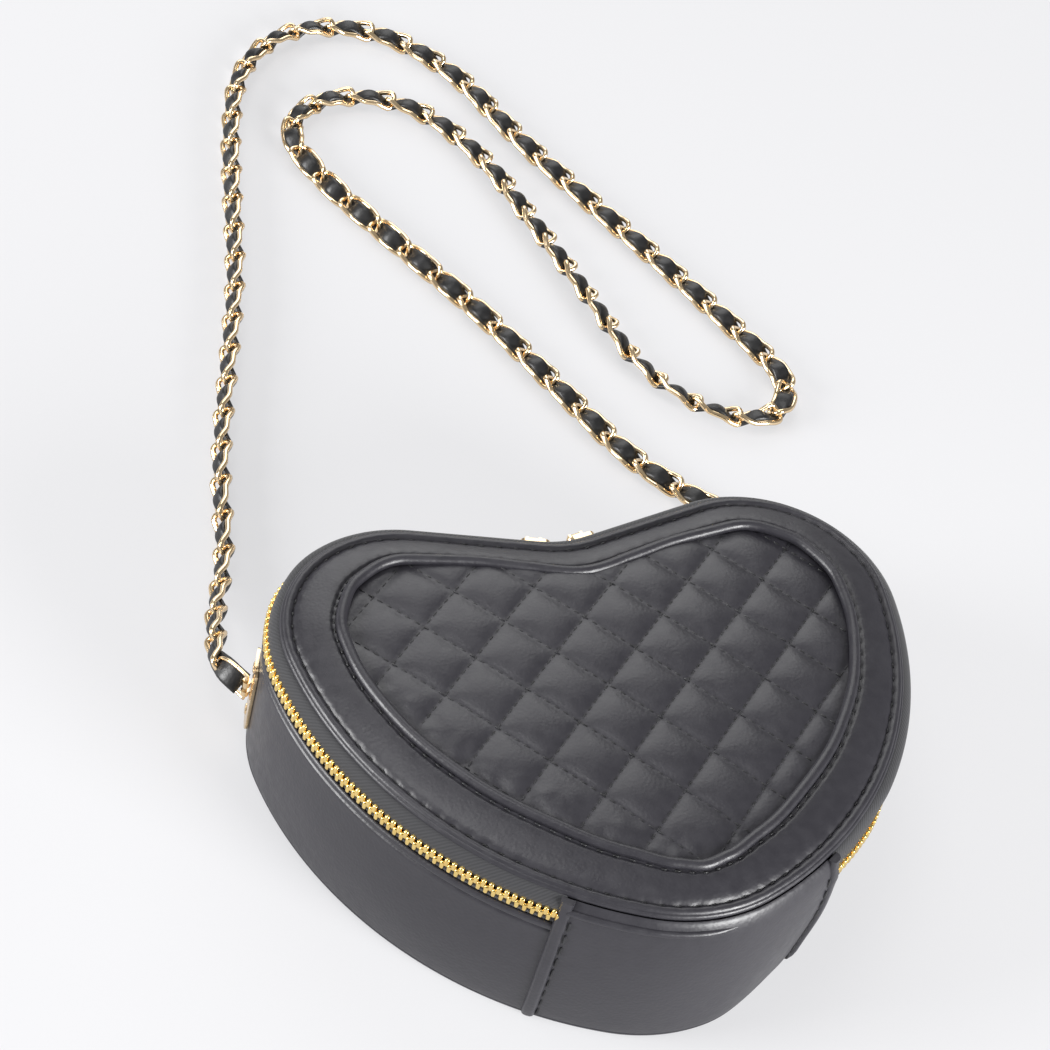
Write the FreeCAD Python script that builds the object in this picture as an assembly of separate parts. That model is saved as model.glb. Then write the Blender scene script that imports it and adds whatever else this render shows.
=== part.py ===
import FreeCAD, Part
import math
import os

# Heart shaped quilted purse lying on its back, front up, in millimetres.
# Z is up from the surface it lies on, Y runs from the tip of the heart to its notch,
# and the origin is the middle of the heart on that surface.

Vec = FreeCAD.Vector

# Outline of the front edge: arcs for notch, lobes, flanks and tip, with a straight run by the notch
notch_y = 66.0
notch_radius = 38.0
notch_slope_deg = 13.646
notch_run = 41.29
lobe_radius = 42.0
flank_radius = 128.0
tip_radius = 54.0
tip_y = -78.0

# Height of the front edge, and the fold line near the tip that the flap turns about
edge_height = 60.5
fold_from_tip = 13.0
fold_gap = 0.3

# Front flap
border_width = 16.0
border_rise = 4.0
border_leather = 1.4
front_piping_radius = 1.5
front_piping_drop = 1.2
inner_piping_radius = 1.6
inner_piping_drop = 0.6
board_thickness = 1.6
board_inset = 1.6
lining_thickness = 0.6
dome_radius = 1200.0
dome_rise = 5.6
quilt_thickness = 1.8
quilt_groove_depth = 0.8
quilt_groove_width = 0.9
quilt_square = 18.5
quilt_turn_deg = -3.4
falling_rows_share = -0.15
rising_rows_share = 0.45

# Side wall layers, as distances outward from the front edge's outline
wall_outer = 3.4
wall_leather = 1.6
zip_tape_thickness = 0.8
wall_lining = 0.6

# Zip, measured down from the front edge
zip_centre_drop = 8.0
zip_row_height = 2.4
zip_row_gap = 0.3
zip_row_thickness = 2.8
zip_parted_gap = 3.2
zip_parted_half_length = 12.5
tape_edge_gap = 2.4
tape_overlap = 5.0
gusset_top_drop = 12.5
tip_panel_top_drop = 2.0
zip_stop_length = 1.8
zip_stop_clearance = 0.6

# Back
back_leather = 1.6
back_inset_from_wall = 2.8
back_piping_radius = 1.2
back_piping_outset = 2.3
back_piping_height = 2.0
back_board_thickness = 1.6

# Tip ridge and seam welts
tip_ridge_radius = 1.2
tip_ridge_outset = 3.0
tip_ridge_drop = 5.0
tip_ridge_end_inset = 2.2
welt_width = 2.1
welt_lap = 0.9
welt_thickness = 1.2
welt_top_drop = 3.2

# Zip sliders and pull tabs
slider_length = 10.0
slider_height = 8.4
slider_plate = 1.6
slider_clearance = 0.5
slider_corner = 2.0
wedge_length = 4.0
wedge_height = 2.2
pin_radius = 0.7
pin_clearance = 0.06
pin_standoff = 1.9
knuckle_radius = 1.5
knuckle_length = 3.0
lug_thickness = 1.0
lug_gap = 0.15
lug_height = 2.6
pull_width = 6.0
pull_neck_width = 3.0
pull_neck_length = 5.0
pull_length = 21.0
pull_thickness = 1.2
pull_corner_share = 0.4

# Side plates with their rings, placed round each lobe from the middle of the heart's side,
# and down from the top edge of the side wall
plate_angle_deg = 19.0
plate_drop = 25.5
plate_width = 13.0
plate_tall = 29.0
plate_thickness = 1.2
plate_corner = 3.0
ring_wire_radius = 0.95
ring_clearance = 0.06
ring_bar_length = 12.0
ring_reach = 9.0
ring_corner = 1.6
ring_rest_turn_deg = 12.0
hinge_tube_wall = 0.9
hinge_tube_length = 7.0
rivet_radius = 1.0
rivet_head_radius = 1.9
rivet_head_height = 0.8
rivet_spread = 21.0
washer_thickness = 0.6
washer_radius = 2.4

# Strap: leather lace, chain links and the folded ends on the rings
lace_radius = 2.2
link_wire_radius = 0.85
link_length = 21.0
link_width = 10.5
link_pitch = 16.2
link_tilt_deg = 22.0
link_end_margin = 14.0
bend_run_share = 0.45
strap_end_radius = 3.3
strap_end_length = 7.0
strap_end_tail = 3.0
strap_end_turn_deg = 71.9
strap_end_dip_deg = 15.0
strap_end_clearance = 0.1

# Points that the strap passes, from the left ring to the right one
strap_points = [
    (-110.61, 63.01, 20.65), (-108.24, 73.37, 17.8), (-104.5, 88.5, 12.4), (-98.7, 104.0, 7.4),
    (-92.0, 123.0, 4.7), (-87.0, 152.0, 4.7), (-79.0, 182.0, 4.7), (-68.0, 217.0, 4.7),
    (-57.0, 254.0, 4.7), (-49.0, 294.0, 4.7), (-40.0, 336.0, 4.7), (-28.0, 371.0, 4.7),
    (-2.0, 395.0, 4.7), (34.0, 393.0, 4.7), (61.0, 364.0, 4.7), (74.0, 323.0, 4.7),
    (93.0, 282.0, 4.7), (113.0, 241.0, 4.7), (129.0, 205.0, 4.7), (140.0, 178.0, 4.7),
    (126.0, 159.0, 4.7), (102.0, 165.0, 4.7), (82.0, 191.0, 4.7), (76.0, 226.0, 4.7),
    (67.0, 268.0, 4.7), (57.0, 314.0, 4.7), (36.0, 347.0, 4.7), (2.0, 353.0, 4.7),
    (-20.0, 333.0, 4.7), (-11.0, 301.0, 4.7), (10.0, 263.0, 4.7), (32.0, 223.0, 4.7),
    (50.0, 180.0, 4.7), (64.0, 146.0, 4.7), (82.0, 124.0, 5.2), (96.5, 106.0, 7.8),
    (104.5, 88.5, 12.6), (108.24, 73.37, 17.8), (110.61, 63.01, 20.65),
]

# One overrun serves all cuts
overrun = 4.0

# Places that follow from the sizes above
slope = math.radians(notch_slope_deg)
along_run = Vec(math.cos(slope), math.sin(slope), 0)
out_of_run = Vec(-math.sin(slope), math.cos(slope), 0)
notch_centre = Vec(0, notch_y + notch_radius, 0)
run_start = notch_centre - out_of_run * notch_radius
lobe_centre = run_start + along_run * notch_run - out_of_run * lobe_radius
tip_centre = Vec(0, tip_y + tip_radius, 0)
fold_y = tip_y + fold_from_tip
half_width = lobe_centre.x + lobe_radius
reach = 4 * half_width
tape_inner = wall_outer - wall_leather - zip_tape_thickness
tape_outer = wall_outer - wall_leather
lining_inner = tape_inner - wall_lining
teeth_inner = tape_inner - (zip_row_thickness - zip_tape_thickness) / 2
teeth_outer = teeth_inner + zip_row_thickness
board_top = edge_height - border_leather
pin_out = teeth_outer + slider_clearance + slider_plate + pin_standoff
zip_centre = edge_height - zip_centre_drop
gusset_top = edge_height - gusset_top_drop
plate_height_z = gusset_top - plate_drop
floor_top = back_leather + back_board_thickness
dome_centre = Vec(0, 0, edge_height + dome_rise - dome_radius)


def flank_centre():
    """Centre of the flank arc, which runs on from the lobe arc into the tip arc."""
    to_lobe = flank_radius - lobe_radius
    to_tip = flank_radius - tip_radius
    between = lobe_centre - tip_centre
    gap = between.Length
    along = (to_tip ** 2 - to_lobe ** 2 + gap ** 2) / (2 * gap)
    aside = math.sqrt(to_tip ** 2 - along ** 2)
    unit = between / gap
    return tip_centre + unit * along + Vec(-unit.y, unit.x, 0) * aside


def arc_about(centre, radius, start, end):
    """Arc edge between two angles, turning the short way."""
    def at(angle):
        return centre + Vec(radius * math.cos(angle), radius * math.sin(angle), 0)
    return Part.Arc(at(start), at((start + end) / 2), at(end)).toShape()


def heart_wire(outset, z):
    """Heart outline moved outward by outset, starting at the bottom of the notch."""
    flank = flank_centre()
    lobe_low = math.atan2(lobe_centre.y - flank.y, lobe_centre.x - flank.x)
    tip_low = math.atan2(tip_centre.y - flank.y, tip_centre.x - flank.x)
    down, up = -math.pi / 2, math.pi / 2
    notch = arc_about(notch_centre, notch_radius - outset, down, down + slope)
    lobe = arc_about(lobe_centre, lobe_radius + outset, up + slope, lobe_low)
    run = Part.LineSegment(notch.Vertexes[-1].Point, lobe.Vertexes[0].Point).toShape()
    side = arc_about(flank, flank_radius + outset, lobe_low, tip_low)
    tip = arc_about(tip_centre, tip_radius + outset, tip_low, down)
    right = [notch, run, lobe, side, tip]
    left = [edge.mirror(Vec(0, 0, 0), Vec(1, 0, 0)) for edge in reversed(right)]
    wire = Part.Wire(Part.__sortEdges__(right + left))
    wire.translate(Vec(0, 0, z))
    return wire


def heart_prism(outset, low, high):
    return Part.Face(heart_wire(outset, low)).extrude(Vec(0, 0, high - low))


def heart_ring(inner, outer, low, high):
    return heart_prism(outer, low, high).cut(heart_prism(inner, low, high))


def heart_tube(outset, z, radius):
    """Round tube along the heart's outline."""
    path = heart_wire(outset, z)
    start = Vec(0, notch_y + outset, z)
    circle = Part.Wire(Part.Circle(start, Vec(1, 0, 0), radius).toShape())
    return Part.Solid(path.makePipeShell([circle], True, False))


def centred_box(length, depth, height, centre):
    corner = centre - Vec(length / 2, depth / 2, height / 2)
    return Part.makeBox(length, depth, height, corner)


def band_between(y_low, y_high):
    """Box that holds everything between two places along Y."""
    centre = Vec(0, (y_low + y_high) / 2, edge_height / 2)
    return centred_box(reach, y_high - y_low, reach, centre)


def flap_side(shape):
    return shape.common(band_between(fold_y + fold_gap / 2, reach))


def tip_side(shape):
    return shape.common(band_between(-reach, fold_y - fold_gap / 2))


def mirrored(shape):
    return shape.mirror(Vec(0, 0, 0), Vec(1, 0, 0))


def frustum(drop):
    """Solid under the sloping border: it rises from the front edge to the inner piping."""
    low = heart_wire(0, edge_height - drop)
    high = heart_wire(-border_width, edge_height + border_rise - drop)
    return Part.makeLoft([low, high], True, True)


def inner_piping_tube():
    height = edge_height + border_rise - inner_piping_drop
    return heart_tube(-border_width, height, inner_piping_radius)


def front_piping_tube():
    return heart_tube(0, edge_height - front_piping_drop, front_piping_radius)


def back_piping_tube():
    return heart_tube(back_piping_outset, back_piping_height, back_piping_radius)


def border_skin():
    """Leather of the border, of even thickness over the slope, between the two pipings."""
    top = frustum(0).fuse(heart_prism(0, board_top, edge_height))
    under = frustum(border_leather)
    opening = heart_prism(-border_width, board_top - overrun, edge_height + border_rise + overrun)
    return top.cut([under, opening, front_piping_tube(), inner_piping_tube()])


def border_foam():
    opening = heart_prism(-border_width, board_top - overrun, edge_height + border_rise + overrun)
    return frustum(border_leather).cut([opening, front_piping_tube(), inner_piping_tube()])


def dome(radius):
    return Part.makeSphere(radius, dome_centre)


def quilt_grooves():
    """Sewn channels on the diagonal, cut to one depth below the domed top."""
    count = math.ceil(half_width / quilt_square)
    core = dome(dome_radius - quilt_groove_depth)
    middle = edge_height + dome_rise
    cutters = []
    for direction, shift in ((1, falling_rows_share), (-1, rising_rows_share)):
        for step in range(-count, count + 1):
            away = (step + shift) * quilt_square
            slab = centred_box(reach, quilt_groove_width, 2 * dome_rise, Vec(0, away, middle))
            turn = -direction * math.degrees(math.pi / 4) + quilt_turn_deg
            slab.rotate(Vec(0, 0, 0), Vec(0, 0, 1), turn)
            cutters.append(slab.cut(core))
    return cutters


def quilted_panel():
    column = heart_prism(-border_width, board_top, edge_height + dome_rise)
    skin = column.common(dome(dome_radius)).cut(dome(dome_radius - quilt_thickness))
    return skin.cut(quilt_grooves() + [inner_piping_tube()])


def quilt_foam():
    column = heart_prism(-border_width, board_top, edge_height + dome_rise)
    return column.common(dome(dome_radius - quilt_thickness)).cut(inner_piping_tube())


def front_board():
    return heart_prism(-board_inset, board_top - board_thickness, board_top)


def front_lining():
    high = board_top - board_thickness
    return heart_prism(-board_inset, high - lining_thickness, high)


def upper_tape():
    low = zip_centre + tape_edge_gap / 2
    high = edge_height - front_piping_drop
    return heart_ring(tape_inner, tape_outer, low, high).cut(front_piping_tube())


def lower_tape():
    return heart_ring(tape_inner, tape_outer, gusset_top - tape_overlap, zip_centre - tape_edge_gap / 2)


def teeth_row(low, tape):
    """Row of zip teeth clamped on its tape, drawn as a band, and parted between the sliders."""
    row = heart_ring(teeth_inner, teeth_outer, low, low + zip_row_height)
    above_fold = fold_y + zip_stop_length + 2 * zip_stop_clearance
    parted = centred_box(2 * zip_parted_half_length, 2 * overrun, zip_parted_gap,
                         Vec(0, notch_y + overrun / 2, zip_centre))
    return row.common(band_between(above_fold, reach)).cut([tape, parted])


def zip_stops(tape):
    """End stops clamped on the lower tape at both ends of the zip."""
    high = zip_centre - zip_row_gap / 2
    ring = heart_ring(teeth_inner, teeth_outer, high - zip_row_height, high)
    start = fold_y + zip_stop_clearance
    return ring.common(band_between(start, start + zip_stop_length)).cut(tape)


def gusset_layer(inner, outer, low, high):
    return heart_ring(inner, outer, low, high).cut(back_piping_tube())


def gusset_tip():
    wall = heart_ring(tape_outer, wall_outer, back_leather, edge_height - tip_panel_top_drop)
    return tip_side(wall.cut([back_piping_tube(), front_piping_tube(), tip_ridge_tube()]))


def tip_ridge_tube():
    return heart_tube(tip_ridge_outset, edge_height - tip_ridge_drop, tip_ridge_radius)


def tip_ridge():
    return tip_ridge_tube().common(band_between(-reach, fold_y - tip_ridge_end_inset))


def seam_welt():
    """Folded strip over the right seam, standing on the outside of the side wall."""
    strip = heart_ring(wall_outer, wall_outer + welt_thickness, back_leather, edge_height - welt_top_drop)
    across = band_between(fold_y - welt_width, fold_y + welt_lap)
    right = centred_box(reach, reach, reach, Vec(reach / 2, 0, 0))
    return strip.common(across).common(right).cut([back_piping_tube(), tip_ridge()])


def back_panel():
    edge = wall_outer - back_inset_from_wall
    return heart_prism(edge, 0, back_leather)


def slider_place():
    """Placement at the start of the straight run: X along the zip, Y outward, Z up."""
    turn = FreeCAD.Rotation(Vec(0, 0, 1), notch_slope_deg)
    return FreeCAD.Placement(run_start + Vec(0, 0, zip_centre), turn)


def rounded_plate(length, thickness, height, corner, y_low):
    """Upright plate in the XZ plane with rounded corners, from y_low outward."""
    plate = Part.makeBox(length, thickness, height, Vec(-length / 2, y_low, -height / 2))
    boxes = [(edge, edge.BoundBox) for edge in plate.Edges]
    along_y = [edge for edge, box in boxes if box.YLength > max(box.XLength, box.ZLength)]
    return plate.makeFillet(corner, along_y)


def zip_slider():
    """Right slider: two plates joined by a wedge, with lugs and a pin for the pull tab."""
    outer_face = teeth_outer + slider_clearance
    inner_face = teeth_inner - slider_clearance
    plate = (slider_length, slider_plate, slider_height, slider_corner)
    outer = rounded_plate(*plate, outer_face)
    inner = rounded_plate(*plate, inner_face - slider_plate)
    wedge = Part.makeBox(wedge_length, outer_face - inner_face, wedge_height,
                         Vec(-slider_length / 2, inner_face, -wedge_height / 2))
    half_pin = knuckle_length / 2 + lug_gap + lug_thickness
    pin = Part.makeCylinder(pin_radius, 2 * half_pin, Vec(-half_pin, pin_out, 0), Vec(1, 0, 0))
    solid = outer.fuse([inner, wedge, pin])
    lug_depth = pin_out + pin_radius + lug_thickness / 2 - outer_face
    for side in (-1, 1):
        place = side * (half_pin - lug_thickness / 2)
        lug = Part.makeBox(lug_thickness, lug_depth, lug_height,
                           Vec(place - lug_thickness / 2, outer_face, -lug_height / 2))
        solid = solid.fuse(lug)
    solid = solid.removeSplitter()
    solid.Placement = slider_place()
    return solid


def pull_tab():
    """Right pull tab hanging from its slider's pin: knuckle, neck and a rounded blade."""
    knuckle = Part.makeCylinder(knuckle_radius, knuckle_length,
                                Vec(-knuckle_length / 2, pin_out, 0), Vec(1, 0, 0))
    inner_face = pin_out - pull_thickness / 2
    neck_tall = pull_neck_length + pull_width / 2
    neck = Part.makeBox(pull_neck_width, pull_thickness, neck_tall,
                        Vec(-pull_neck_width / 2, inner_face, -neck_tall))
    blade_tall = pull_length - pull_neck_length
    corner = pull_width * pull_corner_share
    blade = rounded_plate(pull_width, pull_thickness, blade_tall, corner, inner_face)
    blade.translate(Vec(0, 0, -pull_neck_length - blade_tall / 2))
    bore = Part.makeCylinder(pin_radius + pin_clearance, knuckle_length + 2 * overrun,
                             Vec(-knuckle_length / 2 - overrun, pin_out, 0), Vec(1, 0, 0))
    solid = knuckle.fuse([neck, blade]).cut(bore).removeSplitter()
    solid.Placement = slider_place()
    return solid


def plate_place(turn_deg=0.0, outward=0.0):
    """Placement on the right lobe at the side plate: X outward, Y along the wall."""
    rotation = FreeCAD.Rotation(Vec(0, 0, 1), plate_angle_deg)
    place = lobe_centre + Vec(0, 0, plate_height_z) + rotation.multVec(Vec(outward, 0, 0))
    return FreeCAD.Placement(place, FreeCAD.Rotation(Vec(0, 0, 1), plate_angle_deg + turn_deg))


def hinge_radius():
    """Distance of the ring's bar from the lobe's centre."""
    plate_face = lobe_radius + wall_outer + plate_thickness
    return plate_face + ring_wire_radius + ring_clearance + hinge_tube_wall / 2


def rivet_cylinder(radius, low, high):
    """Cylinders at the plate's two rivets, from low to high along the outward direction."""
    shapes = []
    for side in (-1, 1):
        shape = Part.makeCylinder(radius, high - low, Vec(low, 0, side * rivet_spread / 2), Vec(1, 0, 0))
        shape.Placement = plate_place().multiply(shape.Placement)
        shapes.append(shape)
    return shapes


def side_plate():
    """Right side plate: curved to the wall, with a hinge tube for the ring's bar."""
    inner = lobe_radius + wall_outer
    shell = Part.makeCylinder(inner + plate_thickness, plate_tall, Vec(0, 0, -plate_tall / 2))
    shell = shell.cut(Part.makeCylinder(inner, plate_tall, Vec(0, 0, -plate_tall / 2)))
    face = rounded_plate(plate_width, inner, plate_tall, plate_corner, inner / 2)
    face.rotate(Vec(0, 0, 0), Vec(0, 0, 1), -math.degrees(math.pi / 2))
    tube_radius = ring_wire_radius + ring_clearance + hinge_tube_wall
    tube = Part.makeCylinder(tube_radius, hinge_tube_length, Vec(hinge_radius(), 0, -hinge_tube_length / 2))
    bore = Part.makeCylinder(ring_wire_radius + ring_clearance, plate_tall,
                             Vec(hinge_radius(), 0, -plate_tall / 2))
    backing = Part.makeCylinder(inner, plate_tall, Vec(0, 0, -plate_tall / 2))
    solid = shell.common(face).fuse(tube).cut([bore, backing])
    solid.Placement = plate_place()
    return solid.cut(rivet_cylinder(rivet_radius, inner - overrun, inner + overrun))


def plate_rivets():
    """Two rivets of the right plate, each a shank with a domed head outside."""
    inner = lobe_radius + lining_inner
    face = lobe_radius + wall_outer + plate_thickness
    shanks = rivet_cylinder(rivet_radius, inner - washer_thickness, face)
    heads = rivet_cylinder(rivet_head_radius, face, face + rivet_head_height)
    return [head.fuse(shank).removeSplitter() for shank, head in zip(shanks, heads)]


def rivet_washers():
    """Washers on the right lobe's lining, hollowed to lie close to it."""
    face = lobe_radius + lining_inner
    room = Part.makeCylinder(face, edge_height, lobe_centre)
    discs = rivet_cylinder(washer_radius, face - washer_thickness, face)
    holes = rivet_cylinder(rivet_radius, face - overrun, face + overrun)
    return [disc.common(room).cut(hole) for disc, hole in zip(discs, holes)]


def ring_path(reach):
    """Closed D path in the XZ plane: bar on the Z axis, legs and a half round end."""
    half = ring_bar_length / 2
    straight = reach - half
    corner = ring_corner
    quarter = corner * (1 - math.sqrt(2) / 2)
    points = [Vec(0, 0, half - corner), Vec(quarter, 0, half - quarter), Vec(corner, 0, half),
              Vec(straight, 0, half), Vec(reach, 0, 0), Vec(straight, 0, -half),
              Vec(corner, 0, -half), Vec(quarter, 0, quarter - half), Vec(0, 0, corner - half)]
    edges = [Part.Arc(points[0], points[1], points[2]).toShape(),
             Part.LineSegment(points[2], points[3]).toShape(),
             Part.Arc(points[3], points[4], points[5]).toShape(),
             Part.LineSegment(points[5], points[6]).toShape(),
             Part.Arc(points[6], points[7], points[8]).toShape(),
             Part.LineSegment(points[8], points[0]).toShape()]
    return Part.Wire(edges), points[0]


def ring_solid(radius):
    path, start = ring_path(ring_reach)
    circle = Part.Wire(Part.Circle(start, Vec(0, 0, 1), radius).toShape())
    solid = Part.Solid(path.makePipeShell([circle], True, False))
    solid.Placement = plate_place(ring_rest_turn_deg, hinge_radius())
    return solid


def strap_end():
    """Right end of the strap: leather folded round the far side of the ring."""
    far = plate_place(ring_rest_turn_deg, hinge_radius()).multVec(Vec(ring_reach, 0, 0))
    turn = FreeCAD.Rotation(Vec(0, 0, 1), plate_angle_deg + ring_rest_turn_deg + strap_end_turn_deg)
    axis = turn.multVec(FreeCAD.Rotation(Vec(0, 1, 0), strap_end_dip_deg).multVec(Vec(1, 0, 0)))
    start = far - axis * strap_end_tail
    solid = Part.makeCylinder(strap_end_radius, strap_end_length + strap_end_tail, start, axis)
    return solid.cut(ring_solid(ring_wire_radius + strap_end_clearance))


def strap_wire():
    """The strap's line: straight runs joined by arcs as large as the runs allow."""
    points = [Vec(*p) for p in strap_points]
    edges = []
    radii = []
    place = points[0]
    for before, corner, after in zip(points, points[1:], points[2:]):
        back, ahead = (before - corner), (after - corner)
        cut = bend_run_share * min(back.Length, ahead.Length)
        back_unit, ahead_unit = back / back.Length, ahead / ahead.Length
        half_turn = (math.pi - back_unit.getAngle(ahead_unit)) / 2
        radius = cut / math.tan(half_turn)
        start, end = corner + back_unit * cut, corner + ahead_unit * cut
        bisector = (back_unit + ahead_unit).normalize()
        middle = corner + bisector * (radius / math.cos(half_turn) - radius)
        edges.append(Part.LineSegment(place, start).toShape())
        edges.append(Part.Arc(start, middle, end).toShape())
        radii.append(radius)
        place = end
    edges.append(Part.LineSegment(place, points[-1]).toShape())
    return Part.Wire(edges), radii


def strap_lace(wire):
    start = Vec(*strap_points[0])
    direction = Vec(*strap_points[1]) - start
    circle = Part.Wire(Part.Circle(start, direction, lace_radius).toShape())
    return Part.Solid(wire.makePipeShell([circle], True, False))


def chain_link():
    """One oval link round the lace, tipped so that one end lies over it and the other under."""
    radius = link_width / 2 - link_wire_radius
    half = link_length / 2 - link_wire_radius - radius
    edges = [Part.LineSegment(Vec(-half, -radius, 0), Vec(half, -radius, 0)).toShape(),
             Part.Arc(Vec(half, -radius, 0), Vec(half + radius, 0, 0), Vec(half, radius, 0)).toShape(),
             Part.LineSegment(Vec(half, radius, 0), Vec(-half, radius, 0)).toShape(),
             Part.Arc(Vec(-half, radius, 0), Vec(-half - radius, 0, 0), Vec(-half, -radius, 0)).toShape()]
    circle = Part.Wire(Part.Circle(Vec(-half, -radius, 0), Vec(1, 0, 0), link_wire_radius).toShape())
    solid = Part.Solid(Part.Wire(edges).makePipeShell([circle], True, False))
    solid.rotate(Vec(0, 0, 0), Vec(0, 1, 0), -link_tilt_deg)
    return solid


def strap_chain(wire):
    """Links at even steps along the strap's line, each level across and turned with the line."""
    usable = wire.Length - 2 * link_end_margin
    count = math.floor(usable / link_pitch) + 1
    first = link_end_margin + (usable - (count - 1) * link_pitch) / 2
    link = chain_link()
    links = []
    passed = 0
    step = 0
    for edge in wire.OrderedEdges:
        while step < count and first + step * link_pitch <= passed + edge.Length:
            at = edge.getParameterByLength(first + step * link_pitch - passed)
            point, along = edge.valueAt(at), edge.tangentAt(at)
            if along.dot(edge.valueAt(edge.LastParameter) - edge.valueAt(edge.FirstParameter)) < 0:
                along = along * -1
            across = Vec(0, 0, 1).cross(along).normalize()
            turn = FreeCAD.Rotation(along, across, along.cross(across), "XYZ")
            piece = link.copy()
            piece.Placement = FreeCAD.Placement(point, turn).multiply(piece.Placement)
            links.append(piece)
            step += 1
        passed += edge.Length
    return Part.makeCompound(links)


def save(name, shape):
    shape.exportStep(os.path.join("parts", name + ".step"))
    print(name, shape.isValid(), len(shape.Solids), round(shape.Volume, 2))


def save_pair(name, shape):
    save(name + "_right", shape)
    save(name + "_left", mirrored(shape))


def save_group(name, solids):
    save(name, Part.makeCompound(solids + [mirrored(solid) for solid in solids]))


def save_flap():
    save("quilted_panel", quilted_panel())
    save("quilt_foam", quilt_foam())
    save("inner_piping", inner_piping_tube())
    skin = border_skin()
    save("front_border", flap_side(skin))
    save("tip_border", tip_side(skin))
    save("border_padding", flap_side(border_foam()))
    save("front_piping", flap_side(front_piping_tube()))
    save("tip_piping", tip_side(front_piping_tube()))
    save("front_board", flap_side(front_board()))
    save("front_lining", flap_side(front_lining()))


def save_zip():
    upper, lower = upper_tape(), lower_tape()
    save("upper_zip_tape", flap_side(upper))
    save("upper_zip_teeth", teeth_row(zip_centre + zip_row_gap / 2, upper))
    save("lower_zip_tape", flap_side(lower))
    save("lower_zip_teeth", teeth_row(zip_centre - zip_row_gap / 2 - zip_row_height, lower))
    save("zip_end_stops", zip_stops(lower))
    save_pair("zip_slider", zip_slider())
    save_pair("pull_tab", pull_tab())


def save_body():
    face = lobe_radius + wall_outer + plate_thickness
    through = rivet_cylinder(rivet_radius, lobe_radius + lining_inner - overrun, face)
    holes = through + [mirrored(hole) for hole in through]
    tape_low = gusset_top - tape_overlap
    band = gusset_layer(tape_outer, wall_outer, back_leather, gusset_top).cut(holes)
    save("gusset_band", band.common(band_between(fold_y, reach)))
    save("gusset_tip_panel", gusset_tip())
    save("gusset_stiffener", gusset_layer(tape_inner, tape_outer, back_leather, tape_low).cut(holes))
    save("gusset_lining", gusset_layer(lining_inner, tape_inner, floor_top, gusset_top).cut(holes))
    save_pair("seam_welt", seam_welt())
    save("tip_ridge", tip_ridge())
    save("back_panel", back_panel())
    save("back_piping", back_piping_tube())
    save("back_board", heart_prism(tape_inner, back_leather, floor_top))
    save("back_lining", heart_prism(lining_inner, floor_top, floor_top + lining_thickness))
    save_pair("side_plate", side_plate())
    save_group("plate_rivets", plate_rivets())
    save_group("rivet_washers", rivet_washers())


def save_strap():
    save_pair("strap_ring", ring_solid(ring_wire_radius))
    save_pair("strap_end", strap_end())
    wire, radii = strap_wire()
    lace = strap_lace(wire)
    save("strap_lace", lace)
    save("strap_chain", strap_chain(wire))
    print("strap length", round(wire.Length, 1), "least bend radius", round(min(radii), 1))
    print("lace volume over section times length",
          round(lace.Volume / (math.pi * lace_radius ** 2 * wire.Length), 4))


os.makedirs("parts", exist_ok=True)
save_flap()
save_zip()
save_body()
save_strap()
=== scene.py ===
import bisect
import bmesh
import bpy
import math
from mathutils import Matrix, Vector, kdtree, noise


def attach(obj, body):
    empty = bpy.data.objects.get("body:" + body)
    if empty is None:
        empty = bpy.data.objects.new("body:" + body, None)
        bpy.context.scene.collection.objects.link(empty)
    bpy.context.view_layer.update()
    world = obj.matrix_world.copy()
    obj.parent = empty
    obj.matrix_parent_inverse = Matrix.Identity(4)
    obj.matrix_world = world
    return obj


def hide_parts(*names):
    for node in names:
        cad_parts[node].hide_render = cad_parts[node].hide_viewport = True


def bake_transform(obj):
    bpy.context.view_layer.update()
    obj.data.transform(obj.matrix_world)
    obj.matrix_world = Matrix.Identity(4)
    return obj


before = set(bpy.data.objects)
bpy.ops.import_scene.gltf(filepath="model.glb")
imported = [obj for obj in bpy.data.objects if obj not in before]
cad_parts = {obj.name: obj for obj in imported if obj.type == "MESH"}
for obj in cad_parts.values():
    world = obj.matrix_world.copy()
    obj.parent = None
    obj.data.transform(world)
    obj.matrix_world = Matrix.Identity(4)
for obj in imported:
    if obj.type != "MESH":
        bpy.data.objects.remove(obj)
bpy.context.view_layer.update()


# Pattern. Every panel is cut to one heart: arcs for tip, flank, lobe and notch, with a straight run
# beside the notch. It is drawn at the front edge, and a run is a distance along it from the tip.
MM = 0.001
notch_y = 66 * MM
notch_radius = 38 * MM
notch_slope = math.radians(13.646)
notch_run = 41.29 * MM
lobe_radius = 42 * MM
flank_radius = 128 * MM
tip_radius = 54 * MM
tip_y = -78 * MM
edge_height = 60.5 * MM
fold_y = -65 * MM
pattern_step = 0.5 * MM
right_seam_past_fold = 4.1 * MM
left_seam_past_fold = 2.2 * MM
right_seam_lean = 4.1 * MM
lean_reach = (8 * MM, 34 * MM)
seam_sink = 2.3 * MM
seam_sink_runs = (10 * MM, 45 * MM)
seam_sink_heights = (8 * MM, 50 * MM)
flank_sink = 6.6 * MM
flank_sink_runs = (44 * MM, 82 * MM)
flank_sink_heights = (43 * MM, 51 * MM)
sink_end_runs = (108 * MM, 165 * MM)

run_way = Vector((math.cos(notch_slope), math.sin(notch_slope)))
run_out = Vector((-run_way.y, run_way.x))
notch_centre = Vector((0, notch_y + notch_radius))
run_start = notch_centre - run_out * notch_radius
lobe_centre = run_start + run_way * notch_run - run_out * lobe_radius
tip_centre = Vector((0, tip_y + tip_radius))


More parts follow.
